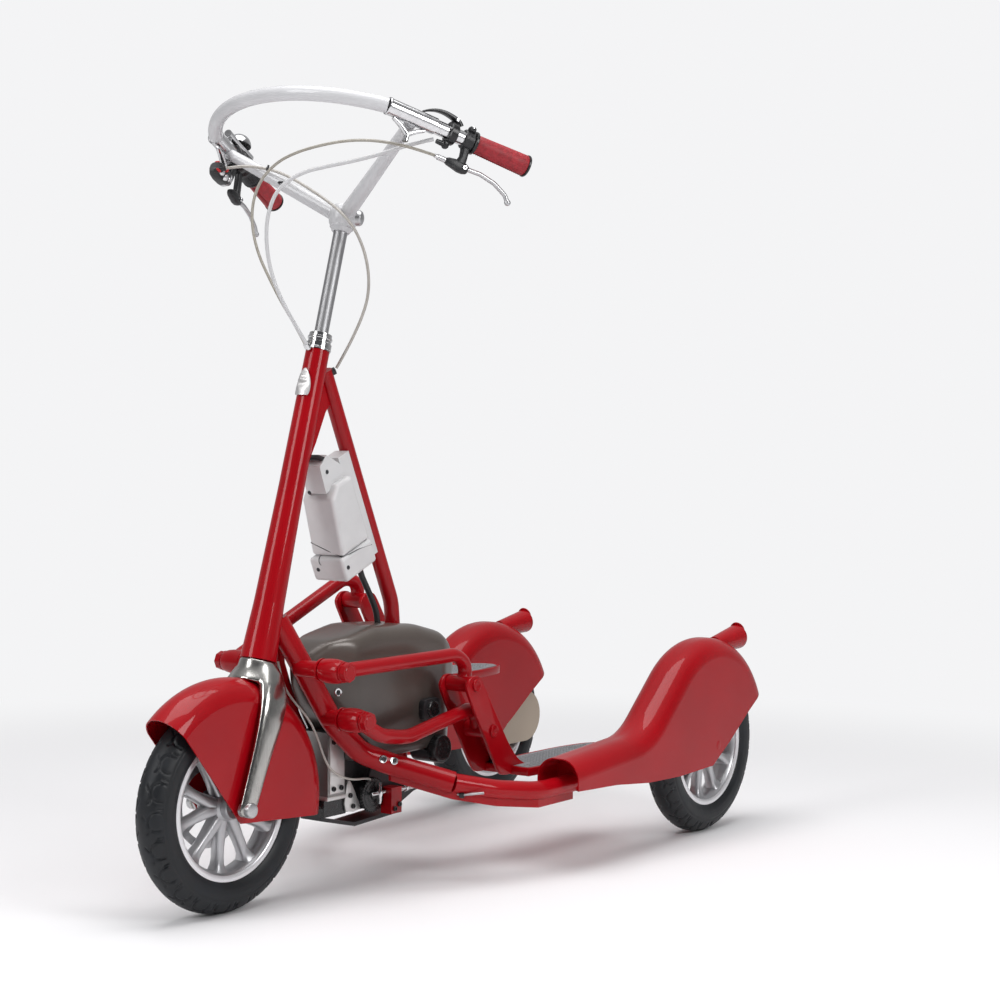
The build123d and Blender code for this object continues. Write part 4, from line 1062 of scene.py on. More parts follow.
class BarSide:
    """Where things sit along one half of the handlebar."""

    mouth = Vector((808.5, 192.8, 1199.1))
    run = Vector((-212.4, 91.2, -77.3))

    def __init__(self, tag: str) -> None:
        """Choose the left or the right half."""
        self.tag = tag
        self.up = self.run.cross(UP).cross(self.run).normalized()

    def seat(self, along: float) -> Matrix:
        """Return the matrix of a shape whose own Z runs along the bar and whose own X points up."""
        matrix = seat(self.mouth + self.run.normalized() * along, self.run, self.up)
        return turned(BAR_STEER) @ (MIRROR @ matrix if self.tag == "right" else matrix)


@dataclass
class Handlebar(Assembly):
    """The grips, lever clamps, shifter and switch box."""

    bar_radius: float = 11.25
    shifter_start: float = 102.0
    stitch_count: int = 22
    stitch_pitch: float = 3.8
    stitch_start: float = 154.0
    rib_count: int = 7
    rib_pitch: float = 3.6
    adjuster_ribs: int = 6
    box_drop: float = 50.0
    feed: tuple[Place, ...] = ((801, -199, 1139.5), (796, -191, 1141), (790, -183, 1143))

    def build(self) -> None:
        """Put every control on both halves of the bar."""
        left, right = BarSide("left"), BarSide("right")
        for side in (left, right):
            self._grip(side)
        self._lever_clamp(left, 128.0, 42.0, "brake_clamps")
        self._lever_clamp(right, 88.0, 62.0, "")
        self._shifter(left)
        self._throttle(right)
        self._switch_box(right)
        for side in (left, right):
            self._stem_lug(side)

    def _fit(self, name: str, side: BarSide, shape: Shape, finish: Finish, along: float = 0.0, hides: str = "") -> None:
        """Put a shape on one half of the bar, its own zero so far along it."""
        self.machine.put(name, shape.moved(side.seat(along)), finish, "steering", hides=hides)

    def _ring(self, name: str, side: BarSide, profile: Sequence[Flat], finish: Finish, hides: str = "") -> None:
        """Spin a ring round the bar."""
        self._fit(name, side, Shape().lathe(profile, 56, closed=True), finish, hides=hides)

    def _grip(self, side: BarSide) -> None:
        """Make a leather grip with its seam and its two black rings, and the lip of the chrome sleeve."""
        inner, tag = self.bar_radius, side.tag
        body = [
            (inner, 150), (13.6, 150.2), (14.4, 152), (14.6, 165), (15.4, 195), (16.1, 225), (16.3, 237),
            (15.6, 239), (inner, 239),
        ]
        self._ring(f"grip_leather_{tag}", side, body, Finish.LEATHER, "grips" if tag == "left" else "")
        flange = [
            (inner, 145), (16.6, 145), (17.8, 145.8), (18, 147.5), (17.8, 149.2), (16.4, 150), (inner, 150),
        ]
        self._ring(f"grip_flange_{tag}", side, flange, Finish.BLACK_GLOSS)
        end = [
            (inner, 238.8), (16, 238.8), (17.3, 239.4), (17.4, 241.4), (16.4, 242.8), (13, 243.5), (inner, 243.6),
        ]
        self._ring(f"grip_end_ring_{tag}", side, end, Finish.BLACK_GLOSS)
        plug = Shape().lathe([(0, 243.5), (8, 243.4), (12.4, 242.6), (12.4, 241), (0, 241)], 40)
        self._fit(f"grip_end_leather_{tag}", side, plug, Finish.LEATHER)
        stitches = Shape()
        for number in range(self.stitch_count):
            along = self.stitch_start + self.stitch_pitch * number
            radius = 14.75 + (along - 150.0) * 0.0195
            stitches.limb((
                ((-radius + 0.5, -3, along - 1.1), 0.35, 0.5), ((-radius - 0.1, -1.2, along - 0.4), 0.5, 0.6),
                ((-radius - 0.1, 1.2, along + 0.4), 0.5, 0.6), ((-radius + 0.5, 3, along + 1.1), 0.35, 0.5),
            ), UP, count=6)
        self._fit(f"grip_stitches_{tag}", side, stitches, Finish.THREAD)
        lip = [(12.4, -1.2), (13.3, -1.2), (13.7, -0.4), (13.7, 1.6), (13.2, 2.4), (12.4, 2.4)]
        self._ring(f"sleeve_lip_{tag}", side, lip, Finish.CHROME)

    def _lever_clamp(self, side: BarSide, start: float, drop: float, hides: str) -> None:
        """Make a lever's clamp band, arm, housing and screws, and the left one's cable adjuster.

        Args:
            side: the half of the bar.
            start: how far along the bar the clamp starts, in millimetres.
            drop: how far its pivot stands off the bar.
            hides: the CAD node that it stands in for, if any.
        """
        inner = self.bar_radius
        band = [(inner, 0.4), (13.8, 0.4), (15.0, 1.6), (15.0, 15.4), (13.8, 16.6), (inner, 16.6)]
        shape = Shape().lathe(band, 48, closed=True)
        shape.limb((
            ((12, 5, 8.5), 6, 4.2), ((15.5, 8.5, 8.5), 6, 4.4), ((16.5, 12, 8.5), 5.2, 3.6),
        ), UP, 4.0)
        shape.limb((
            ((-10, 0, 8.5), 7.8, 6), ((-18, 0, 9.5), 6.6, 5.4), ((-drop + 14, 0, 10), 6.2, 5.6),
            ((-drop + 4, 0, 8), 8, 6.8), ((-drop, 0, 7), 8.4, 7),
        ), UP, 3.4)
        shape.limb((
            ((-drop, 0, -16), 4.2, 4.2), ((-drop, 0, -12), 6, 5.6), ((-drop, 0, -3), 7.6, 6.8),
            ((-drop - 1, 0, 8), 9, 7.4), ((-drop - 1.5, 0, 16), 8.4, 7), ((-drop - 2, 0, 21.5), 6, 5.6),
        ), AHEAD, 3.4)
        self._fit(f"lever_clamp_{side.tag}", side, shape, Finish.BLACK, start, hides)
        screws = Shape()
        cap = Shape().lathe([(1.4, 1.2), (1.6, 3), (3, 3), (3.4, 2.4), (3.4, 0), (0, 0), (0, 1.2)], 20)
        for place, along in (
            ((-drop - 1, 7.2, 14), ACROSS), ((17.2, 10.5, 8.5), AHEAD), ((-drop - 1, -7.2, 14), -ACROSS),
        ):
            screws.join(cap, facing(place, along))
        self._fit(f"lever_screws_{side.tag}", side, screws, Finish.CHROME, start)
        if side.tag == "left":
            profile = [(0, -35), (2.9, -35), (3.2, -34), (3.2, -30)]
            for number in range(self.adjuster_ribs):
                low = -30.0 + 2.2 * number
                profile += [(4.5, low + 0.3), (4.5, low + 1.3), (3.8, low + 1.7)]
            profile += [(3.4, -16), (3.4, -12), (0, -12)]
            self._fit("cable_adjuster", side, Shape().lathe(profile, 28).shift(-drop, 0.0, 0.0), Finish.CHROME, start)

    def _shifter(self, side: BarSide) -> None:
        """Make the gear shifter's ring, pod and long thumb paddle."""
        inner = self.bar_radius
        ring = [(inner, 0), (16.2, 0), (17.8, 1.4), (17.8, 11.6), (16.2, 13), (inner, 13)]
        shape = Shape().lathe(ring, 56, closed=True)
        line = ((14, -47), (19.5, -38), (24, -26), (25.5, -12), (23.5, 3), (19.5, 13), (15, 17))
        paddle = flowing(line, 3, False)
        stations = []
        for number, (rise, along) in enumerate(paddle):
            share = number / (len(paddle) - 1)
            swell = math.sin(math.pi * min(share * 0.62 + 0.06, 0.5))
            stations.append(((rise, 0.0, along), 2.0 + 5.5 * swell, 1.4 + 3.6 * share))
        shape.limb(stations, ACROSS, 2.6)
        shape.limb((
            ((-14, 0, 1), 5.2, 5.4), ((-19, 0, 2), 5.8, 6), ((-24, 0, 3), 4.6, 4.8),
            ((-26, 0, 3.5), 2.6, 2.6),
        ), ACROSS, 3.0)
        shape.limb((
            ((-20, 0, 5), 4.4, 4.4), ((-20, 0, -6), 4.2, 4.2), ((-20, 0, -13), 3.6, 3.6),
        ), ACROSS)
        self._fit("gear_shifter", side, shape, Finish.BLACK_GLOSS, self.shifter_start, "bar_switches")
        screw = Shape().lathe([(0, 1), (1.4, 1.2), (1.8, 2.2), (3, 2), (3.3, 0), (0, 0)], 20)
        screw.moved(facing((21.0, 7.2, 8.0), ACROSS))
        self._fit("shifter_screw", side, screw, Finish.CHROME, self.shifter_start)

    def _throttle(self, side: BarSide) -> None:
        """Make the ribbed collar beside the right grip."""
        inner = self.bar_radius
        housing = [
            (inner, 78), (15, 78), (19, 80), (20.4, 84), (20.6, 92), (19.6, 94), (19.6, 98),
            (20.8, 100), (20.8, 105), (19.2, 106.6), (inner, 106.6),
        ]
        self._ring("lever_housing_collar", side, housing, Finish.BLACK_GLOSS)
        profile = [(inner, 107), (16.5, 107), (18, 108.6), (18, 114), (17, 115)]
        for number in range(self.rib_count):
            low = 116.0 + self.rib_pitch * number
            profile += [(17.8, low), (17.8, low + 1.8), (16.8, low + 2.3), (16.8, low + 3.2)]
        profile += [(17.6, 142), (16.8, 144), (inner, 144)]
        self._ring("ribbed_collar", side, profile, Finish.BLACK)

    def _switch_box(self, side: BarSide) -> None:
        """Make the right switch box: black shell, pale back, red rocker and red key."""
        drop = self.box_drop
        ring = [(13.1, 62), (17, 62), (18.4, 63.4), (18.4, 74.6), (17, 76), (13.1, 76)]
        shape = Shape().lathe(ring, 48, closed=True)
        shape.limb((
            ((-15, 0, 69), 6.5, 6.5), ((-28, 0, 68), 7, 7), ((-38, 0, 62), 8.5, 8),
            ((-46, 0, 56), 9.5, 9),
        ), ACROSS, 3.2)
        shape.limb((
            ((-drop, 0, 60), 8, 8.5), ((-drop, 0, 54), 11.5, 11.5), ((-drop, 0, 44), 13, 13),
            ((-drop, 0, 30), 13.4, 13.4), ((-drop + 1, 0, 18), 12.4, 12.6), ((-drop + 3, 0, 11.5), 9.5, 9.5),
        ), ACROSS, 3.0)
        self._fit("switch_box", side, shape, Finish.BLACK, hides="control_right")
        collar = ((8, 0), (12.2, 0), (13.2, 1.2), (13.2, 5), (12.4, 6.2), (10.6, 6.2), (8, 5))
        ring = Shape().lathe(collar, 40, closed=True).shift(-drop, 0.0, 47.0)
        self._fit("switch_collar", side, ring, Finish.SATIN_STEEL)
        red = Shape()
        red.limb((
            ((-drop + 9, 0, 16), 2.5, 5), ((-drop + 12.6, 0, 17), 2.5, 4.6), ((-drop + 14.2, 0, 18), 2, 3.8),
        ), UP, 3.5)
        red.limb((
            ((-drop + 3, -9, 26), 4.8, 4.8), ((-drop + 3.6, -14, 26), 4.4, 4.4), ((-drop + 4, -16.4, 26), 2.8, 2.8),
        ), UP, 2.4)
        red.limb((
            ((-drop - 4, -6, 13), 4, 2.2), ((-drop - 5, -8, 9.8), 4.6, 2.4), ((-drop - 6, -9.5, 8), 3.4, 1.8),
        ), UP, 2.8)
        self._fit("switch_keys", side, red, Finish.RED_BUTTON)
        pale = Shape()
        for along, rise, radius in ((18, -drop - 5.0, 4.8), (31, -drop - 7.0, 5.6), (43, -drop - 5.0, 4)):
            cap = ((0, 5.6), (radius * 0.6, 5.4), (radius * 0.92, 4.4), (radius, 3), (radius, 0), (0, 0))
            pale.join(Shape().lathe(cap, 24), facing((rise, -9, along), (-0.35, -1, 0)))
        self._fit("switch_knobs", side, pale, Finish.CHROME)
        self.machine.wire("feed_sheath", self.feed, 3.9, Finish.BLACK, "steering")

    def _stem_lug(self, side: BarSide) -> None:
        """Add the forked lug that carries a sleeve on its arm of the stem."""
        shape, root = Shape(), 41.4
        for end in (13.0, 66.0):
            middle = (end + root) / 2
            shape.limb((
                ((-40, 0, root), 6.2, 4), ((-29, 0, 41), 6, 4.4),
                ((-19, 0, middle + (end - root) * 0.05), 5.2, 3.4), ((-13.6, 0, end), 4.2, 2.4),
            ), ACROSS, 2.4)
        self._fit(f"stem_lug_{side.tag}", side, shape, Finish.CHROME)


@dataclass
class Pedals(Assembly):
    """The foot trays, their brackets and studded treads, and the pivots' round barrels."""

    upper_pivot: Flat = (849.0, 356.0)
    lower_pivot: Flat = (801.0, 276.0)
    upper_pin: Flat = (539.7, 308.1)
    lower_pin: Flat = (491.7, 228.1)
    lift: Place = (6.1, 0.0, 125.7)
    inner: float = 80.0
    outer: float = 140.0
    wall: float = 6.0
    pad_front: float = 439.7
    pad_length: float = 312.0
    pad_width: float = 98.0
    rim_top: float = 162.9
    rim_height: float = 14.0
    stud_pitch: float = 9.0
    stud_start: float = 3.0
    stud_edge: float = 12.0
    stud_end: float = 0.965
    taper_start: float = 0.72
    taper: float = 130.0
    bracket_end: float = 398.0
    bracket_strips: tuple[Flat, Flat] = ((0.0, 14.0), (46.0, 70.0))
    cheek: tuple[Flat, ...] = (
        (523, 314), (533, 322), (549, 322), (560, 314), (563, 303), (553, 284), (540, 262), (524, 236), (508, 210),
        (492, 184), (474, 158), (460, 150.5), (420, 150.5), (380, 150.5), (356, 151), (362, 158), (385, 161),
        (404, 164.5),
        (424, 177), (443, 197), (459, 219), (474, 241), (490, 264), (507, 290),
    )
    pad: tuple[Flat, ...] = (
        (0, 0.1), (0, 0.5), (0, 0.9), (0.03, 0.99), (0.3, 1), (0.62, 1), (0.8, 0.95), (0.94, 0.84), (1, 0.66),
        (1, 0.34),
        (0.94, 0.16), (0.8, 0.05), (0.62, 0), (0.3, 0), (0.03, 0.01),
    )

    def build(self) -> None:
        """Make both trays and dress the pivots."""
        put = self.machine.put
        lift = Matrix.Translation(Vector(self.lift) * MM)
        for tag, mirror, matrix in (("left", Matrix(), Matrix()), ("right", MIRROR, MIRROR @ lift)):
            body = f"pedal_{tag}"
            put(f"pedal_tray_{tag}", self._tray().moved(matrix), Finish.RED, body, 35.0, body)
            put(f"tread_studs_{tag}", self._studs().moved(matrix), Finish.TREAD, body)
            put(f"pin_heads_{tag}", self._pin_heads().moved(matrix), Finish.RED, body)
            caps = Shape()
            for arm, place in (("upper_arm", self.upper_pivot), ("lower_arm", self.lower_pivot)):
                put(f"{arm}_barrel_{tag}", self._barrel(place).moved(mirror), Finish.RED, f"{arm}_{tag}")
                caps.join(self._cap(place))
            put(f"pivot_caps_{tag}", caps.moved(mirror), Finish.RED, "frame", 25.0)

    @staticmethod
    def _plate(outline: Sequence[Flat], low: float, high: float) -> Shape:
        """Extrude a side-view outline from one distance off the middle plane to another."""
        return Shape().slab(outline, high - low).moved(side_on(low))

    def _tray(self) -> Shape:
        """Make the bracket's two cheeks, its rear web and the rimmed foot tray."""
        cheek = flowing(self.cheek, 3)
        tray = Shape()
        for low, high in ((self.inner, self.inner + self.wall), (self.outer - self.wall, self.outer)):
            tray.join(self._plate(cheek, low, high).soften(0.0011, 2, 50.0))
        back = flowing(((398, 162), (404, 164.5), (424, 177), (443, 197), (459, 219), (467, 231)), 4, False)
        front = [(x + 3.4, z - 3.0) for x, z in reversed(back)]
        tray.join(self._plate([*back, *front], self.inner + 2.0, self.outer - 2.0))
        outline = [
            (self.pad_front - along * self.pad_length, self.inner + share * self.pad_width)
            for along, share in flowing(self.pad, 4)
        ]
        pad = Shape().slab(outline, self.rim_height)
        top = max(pad.bm.faces, key=lambda face: face.calc_center_median().z)
        bmesh.ops.inset_region(pad.bm, faces=[top], thickness=5.5, depth=0.0)
        top = max(pad.bm.faces, key=lambda face: (face.calc_center_median().z, face.calc_area()))
        bmesh.ops.inset_region(pad.bm, faces=[top], thickness=0.6, depth=-5.0)
        pad.soften(1.4, 2, 60).shift(0, 0, self.rim_top - self.rim_height)
        return tray.join(pad, FROM_MM)

    def _studs(self) -> Shape:
        """Set rows of low studs on the tread."""
        stud = Shape().lathe([(0, 2), (1.6, 1.9), (2.7, 1), (3.1, 0)], 8)
        studs = Shape()
        for row in range(1, int(self.pad_width / self.stud_pitch)):
            across = row * self.stud_pitch + self.stud_start
            under = any(low < across < high for low, high in self.bracket_strips)
            for number in range(2, int(self.pad_length / self.stud_pitch)):
                along = number * self.stud_pitch + (self.stud_pitch / 2 if row % 2 else 0.0)
                share = along / self.pad_length
                edge = self.stud_edge + max(share - self.taper_start, 0.0) * self.taper
                hidden = under and self.pad_front - along > self.bracket_end
                if edge < across < self.pad_width - edge and share < self.stud_end and not hidden:
                    place = at(self.pad_front - along, self.inner + across, self.rim_top)
                    studs.join(stud, Matrix.Translation(place) @ Matrix.Scale(MM, 4))
        return studs

    def _pin_heads(self) -> Shape:
        """Make the dished bolt heads of the two rear pins."""
        head = (
            (0, 1.6), (4.5, 1.6), (5.5, 2.2), (6.6, 3.6), (8.6, 4), (9.8, 3.4), (10.2, 2), (10.2, 0), (0, 0),
        )
        pin = Shape().lathe(head, 36).join(Shape().lathe([(0, -58), (5.8, -58), (5.8, 0), (0, 0)], 28))
        heads = Shape()
        for x, z in (self.upper_pin, self.lower_pin):
            heads.join(pin, seat((x, self.outer, z), ACROSS))
        return heads

    @staticmethod
    def _barrel(place: Flat) -> Shape:
        """Spin the swelling barrel at an arm's front end."""
        profile = [
            (14, 81.8), (16.2, 82), (17.4, 83.2), (18.4, 90), (19, 98), (18.9, 106), (17.9, 114),
            (16.6, 119), (15.6, 121.3), (14, 121.6),
        ]
        return Shape().lathe(profile, 56, closed=True).moved(seat((place[0], 0.0, place[1]), ACROSS))

    @staticmethod
    def _cap(place: Flat) -> Shape:
        """Make the eight-sided end cap with its raised round face."""
        cap = Shape().prism(8, 15.0, 11.6).soften(0.9, 2, 25.0)
        cap.lathe([(0, 12.6), (9.6, 12.6), (10.6, 12), (11, 11), (0, 11)], 40)
        cap.lathe([(8, -0.2), (15.2, -0.2), (15.8, 0.6), (15.8, 2.2), (15, 3), (8, 3)], 48, closed=True)
        return cap.moved(seat((place[0], 122.4, place[1]), ACROSS))


@dataclass
class Fork(Assembly):
    """The polished fork: a flared crown that runs into two waisted legs."""

    axle: Place = (983.6, 0.0, 159.0)
    crown_height: float = 371.4
    crown: tuple[Flat, ...] = (
        (0, 0), (27.6, 0), (28, -1.5), (28.3, -9), (30.5, -19), (35, -29), (39, -36), (0, -40),
    )
    leg: tuple[Station, ...] = (
        ((906, 16, 360), 20, 15), ((908, 27, 346), 24, 15), ((913, 38, 330), 26, 13),
        ((920, 46, 312), 26.5, 10.8), ((929, 50.5, 290), 25.2, 9), ((939, 52, 267), 22.8, 8.4),
        ((949, 52.5, 243), 20.4, 8.2), ((959, 53, 219), 19, 7.8), ((968, 53.4, 196), 18.2, 7.4),
        ((976.5, 53.8, 175), 17.4, 7.2), ((982, 54, 161), 16.8, 7.2), ((984.5, 54, 153), 15.2, 6.8),
        ((986, 54, 147.5), 10.5, 5),
    )

    def build(self) -> None:
        """Make the fork and turn it with the wheel."""
        shape = Shape().lathe(self.crown, 72).moved(seat(on_axis(self.crown_height), AXIS_DIRECTION))
        leg = Shape().limb(self.leg, (1.0, 0.0, 0.25), 2.3, 28).moved(FROM_MM)
        bmesh.ops.recalc_face_normals(leg.bm, faces=leg.bm.faces[:])
        shape.join(leg).join(leg, MIRROR)
        bmesh.ops.recalc_face_normals(shape.bm, faces=shape.bm.faces[:])
        fork = self.machine.fuse(shape, 1.9).ease(22).moved(turned(WHEEL_STEER))
        self.machine.put("polished_fork", fork, Finish.FORK, "steering", 70.0, "fork")
        profile = ((0, 66.6), (8.6, 66.6), (10.4, 66), (11.2, 64.4), (11.4, 52), (11.4, 46), (0, 46))
        lug, lugs = Shape().lathe(profile, 48), Shape()
        for side in (ACROSS, -ACROSS):
            lugs.join(lug, seat(self.axle, side))
        self.machine.put("axle_lugs", lugs.moved(turned(WHEEL_STEER)), Finish.SATIN_STEEL, "steering")


@dataclass
class SmallTrim(Assembly):
    """Shield, bolts, rollers, lock, wing nut, sprocket and the other small fittings."""

    tube_radius: float = 21.2
    tube_taper: float = 0.019
    boss_height: float = 1035.0
    shield_turn: float = 0.06
    shield_mesh: float = 3.0
    tooth_count: int = 34
    tooth: tuple[Flat, ...] = ((0.0, 25.4), (0.28, 25.8), (0.42, 28.2), (0.72, 28.2), (0.86, 25.8))
    shield_height: float = 792.0
    shield: tuple[Flat, ...] = (
        (-12.5, -21.5), (-6, -22.8), (0, -23.2), (6, -22.8), (12.5, -21.5), (14.2, -10), (11.6, 4), (6.4, 15), (0, 21),
        (-6.4, 15), (-11.6, 4), (-14.2, -10),
    )
    battery_seam: tuple[Place, ...] = (
        (753.2, -30, 542.6), (751.8, -14, 536.6), (750.6, -0.7, 531.6), (747.6, 14, 526.4), (744.6, 27.4, 521.3),
        (731, 33.4, 526.5), (717.3, 34.2, 531.7), (700, 34.4, 535.5), (680, 34.4, 539),
    )
    rod: tuple[Place, ...] = ((640.5, 88, 151.3), (639.4, 136, 150.0), (628.8, 180, 145.5), (613.6, 212, 150.1))
    lead: tuple[Place, ...] = (
        (864, 2, 365), (861, 8, 331), (849, 18, 306), (828, 28, 280), (815, 36, 254), (795, 42, 198), (768, 46, 178.6),
        (734.6, 46, 169.3), (705, 46, 168.5), (690, 42, 164),
    )

    def build(self) -> None:
        """Make the fittings one group after another."""
        self._shield()
        self._headset_rings()
        self._ties()
        self._battery()
        self._rollers()
        self._rail_bolts()
        self._drive()
        self._tension_screw()
        self._rail_rod()
        self._plates()
        self._horn_ends()
        self._cable()

    def _shield(self) -> None:
        """Bend the bare shield round the front of the head tube."""
        shape = Shape().slab(flowing(self.shield, 3), 1.3)
        top = max(shape.bm.faces, key=lambda face: face.calc_center_median().z)
        bmesh.ops.inset_region(shape.bm, faces=[top], thickness=1.3, depth=0.0)
        top = max(shape.bm.faces, key=lambda face: (face.calc_center_median().z, face.calc_area()))
        bmesh.ops.inset_region(shape.bm, faces=[top], thickness=0.4, depth=-0.4)
        bmesh.ops.triangulate(shape.bm, faces=shape.bm.faces[:])
        long_edges = [edge for edge in shape.bm.edges if edge.calc_length() > self.shield_mesh]
        bmesh.ops.subdivide_edges(shape.bm, edges=long_edges, cuts=3)
        foot = Vector(on_axis(self.shield_height))
        front = Vector((AXIS_DIRECTION.z, 0.0, -AXIS_DIRECTION.x))
        for vert in shape.bm.verts:
            across, rise, out = vert.co
            radius = self.tube_radius - self.tube_taper * rise + out
            turn = across / self.tube_radius + self.shield_turn
            place = foot + AXIS_DIRECTION * rise + (front * math.cos(turn) + ACROSS * math.sin(turn)) * radius
            vert.co = at(*place)
        self.machine.put("bare_shield", shape, Finish.SHIELD, "frame", 40.0)

    def _headset_rings(self) -> None:
        """Add the stacked rings of the headset, the stem's boss and the cap on its back."""
        rings = Shape()
        for height, radius, length in ((846.5, 20.4, 3), (852, 18.6, 2), (862.5, 19.4, 4), (868.5, 17.6, 2.6)):
            inner, lip = radius - 4, radius - 0.6
            profile = ((inner, 0), (lip, 0), (radius, 0.7), (radius, length - 0.7), (lip, length), (inner, length))
            rings.join(Shape().lathe(profile, 56, closed=True), seat(on_axis(height), AXIS_DIRECTION))
        self.machine.put("headset_rings", rings, Finish.CHROME, "frame")
        profile = (
            (11.4, 0), (13.6, 0), (15, 1.4), (17, 6), (21, 13), (23.2, 21), (23.6, 29), (22.4, 37), (19, 42),
            (11.4, 43),
        )
        collar = Shape().lathe(profile, 64, closed=True).moved(seat(on_axis(self.boss_height), AXIS_DIRECTION))
        self.machine.put("stem_boss", collar.moved(turned(BAR_STEER)), Finish.PEARL, "steering")
        cap = Shape().lathe([(0, 8), (6, 7.4), (10.6, 5.2), (12.6, 2), (13, -8), (0, -8)], 40)
        cap.moved(seat((697.5, 19.5, 1058.0), (-0.5, 0.85, -0.1)))
        self.machine.put("stem_cap", cap.moved(turned(BAR_STEER)), Finish.SATIN_STEEL, "steering")

    def _ties(self) -> None:
        """Tie the cables with small black ties."""
        tie = Shape().lathe([(2.6, -1.6), (3.7, -1.6), (4, -1), (4, 1), (3.7, 1.6), (2.6, 1.6)], 24, closed=True)
        tie.join(Shape().box(4, 3.4, 3).soften(0.6), Matrix.Translation((4.6, 0, 0)))
        ties = Shape()
        for place, along in (((752.0, -127.0, 1141.8), (-12, 28, -7)), ((744.8, -104.6, 1118.5), (5, 14, -40))):
            ties.join(tie, seat(place, along))
        self.machine.put("cable_ties", ties, Finish.BLACK, "steering")

    def _battery(self) -> None:
        """Add the battery's lock, screws, rubber edge and seam."""
        arc = []
        for number in range(9):
            turn = math.radians(110.0 + 17.5 * number)
            share = math.sin(math.pi * number / 8)
            arc.append(((0.0, 7.6 * math.cos(turn), 8.6 * math.sin(turn)), 0.25 + 0.6 * share, 0.5))
        lock = Shape().limb(arc, (0.0, 1.0, 0.2), count=8)
        lock.moved(seat((752.5, -6.0, 515.0), UP, AHEAD))
        self.machine.put("battery_lock_arc", lock, Finish.DARK_RUBBER, "frame")
        dark = Shape()
        screw = Shape().lathe([(0, 0.2), (1.4, 0.3), (1.8, 1.2), (3.1, 1), (3.5, 0.2), (3.5, -1.5), (0, -1.5)], 24)
        for place, along in (
            ((772.4, 20, 655.7), ACROSS), ((774.3, -14.5, 622.6), (0.94, 0, -0.35)),
            ((746.5, -20, 499.6), (0.91, 0, -0.41)), ((738, 35, 505), ACROSS),
        ):
            dark.join(screw, seat(place, along))
        edge = Shape().limb((
            ((778, -21, 676), 4, 1.8), ((782, -12, 678.5), 5, 2.2), ((783, 8, 678.5), 5, 2.2),
            ((781, 20, 676), 4, 1.8),
        ), (1, 0, -0.9), 3)
        dark.join(edge, FROM_MM)
        seam = [(place, 0.7, 0.7) for place in self.battery_seam]
        dark.join(Shape().limb(seam, (0.1, 0.2, 1.0), count=8), FROM_MM)
        self.machine.put("battery_screws", dark, Finish.DARK_RUBBER, "frame")

    def _rollers(self) -> None:
        """Face the rollers with rings and hold the upper ones in moulded shoes."""
        face = [
            (0, 73.2), (3.4, 73.2), (4, 72.5), (5.2, 72.5), (5.8, 73.4), (12, 73.6), (12.8, 72.4), (14.2, 72.4),
            (15, 73.4), (20.4, 73.6), (22.4, 72.8), (23.6, 70.8), (23.6, 58), (0, 58),
        ]
        small = [(radius * 0.6, height + 1.4) for radius, height in face]
        faces, shoes = Shape(), Shape()
        for side in (ACROSS, -ACROSS):
            faces.join(Shape().lathe(face, 64), seat((540, 0, 197), side))
            faces.join(Shape().lathe(small, 48), seat((566, 0, 266), side))
        self.machine.put("roller_faces", faces, Finish.BLACK_GLOSS, "frame")
        block = flowing(((-21, -15), (0, -17), (19, -16), (23, 0), (19, 15), (0, 17.5), (-19, 16), (-23, 2)), 3)
        shoe = Shape().slab(block, 12.5).soften(1.6, 2, 40.0)
        for side in (1, -1):
            shoes.join(shoe, side_on(58.5 * side, 566.0, 266.0, side))
        self.machine.put("roller_shoes", shoes, Finish.BLACK, "frame")

    def _rail_bolts(self) -> None:
        """Add the ring bolts with their dark cores on both sides of the frame."""
        profile = ((3, 0.4), (3.4, 1.6), (5.4, 1.8), (6.4, 1.2), (6.6, 0.2), (6.6, -2), (3, -2))
        ring, core = Shape().lathe(profile, 32, closed=True), Shape().prism(6, 2.8, 1.4)
        rings, cores = Shape(), Shape()
        for place, along in (
            ((721.3, 94.1, 205.7), (0.55, 0.81, 0.17)), ((707, 104.7, 201.8), (0.54, 0.72, 0.42)),
            ((771.2, 43.5, 312.1), (0.47, 0.88, 0)),
        ):
            matrix = seat(place, along)
            for turn in (matrix, MIRROR @ matrix):
                rings.join(ring, turn)
                cores.join(core, turn)
        self.machine.put("ring_bolts", rings, Finish.CHROME, "frame")
        self.machine.put("ring_bolt_cores", cores, Finish.DARK_RUBBER, "frame")

    def _drive(self) -> None:
        """Add the sprockets and the moulded belt case, a black slab that also stands in for the shade between the parts
        round the motor.
        """
        teeth = []
        for number in range(self.tooth_count):
            for share, radius in self.tooth:
                turn = math.tau * (number + share) / self.tooth_count
                teeth.append((radius * math.cos(turn), radius * math.sin(turn)))
        boss = ((0, 8.6), (6, 8.6), (7, 7.6), (7.4, 5.4), (13, 5), (14, 4.2), (14, 0), (0, 0))
        ring = ((17, 4), (18, 5.4), (21.6, 5.4), (22.8, 4), (22.8, 1), (17, 1))
        sprocket = Shape().slab(teeth, 4.2)
        sprocket.join(Shape().lathe(boss, 40)).join(Shape().lathe(ring, 48, closed=True))
        wheels = Shape()
        for side in (ACROSS, -ACROSS):
            wheels.join(sprocket, seat((683.0, 38.6 * side.y, 138.0), side))
        self.machine.put("toothed_sprockets", wheels, Finish.BLACK_GLOSS, "frame", 25.0)
        # partly painted shade: the black case also fills the dark gaps round the motor where shade falls
        case = ((738, 118), (739, 160), (736, 198), (702, 205), (668, 192), (646, 150), (640, 116), (690, 112))
        body = Shape().slab(flowing(case, 3), 34.0).soften(2.4).moved(side_on(-17.0))
        self.machine.put("belt_case_shade_filler", body, Finish.BLACK, "frame")

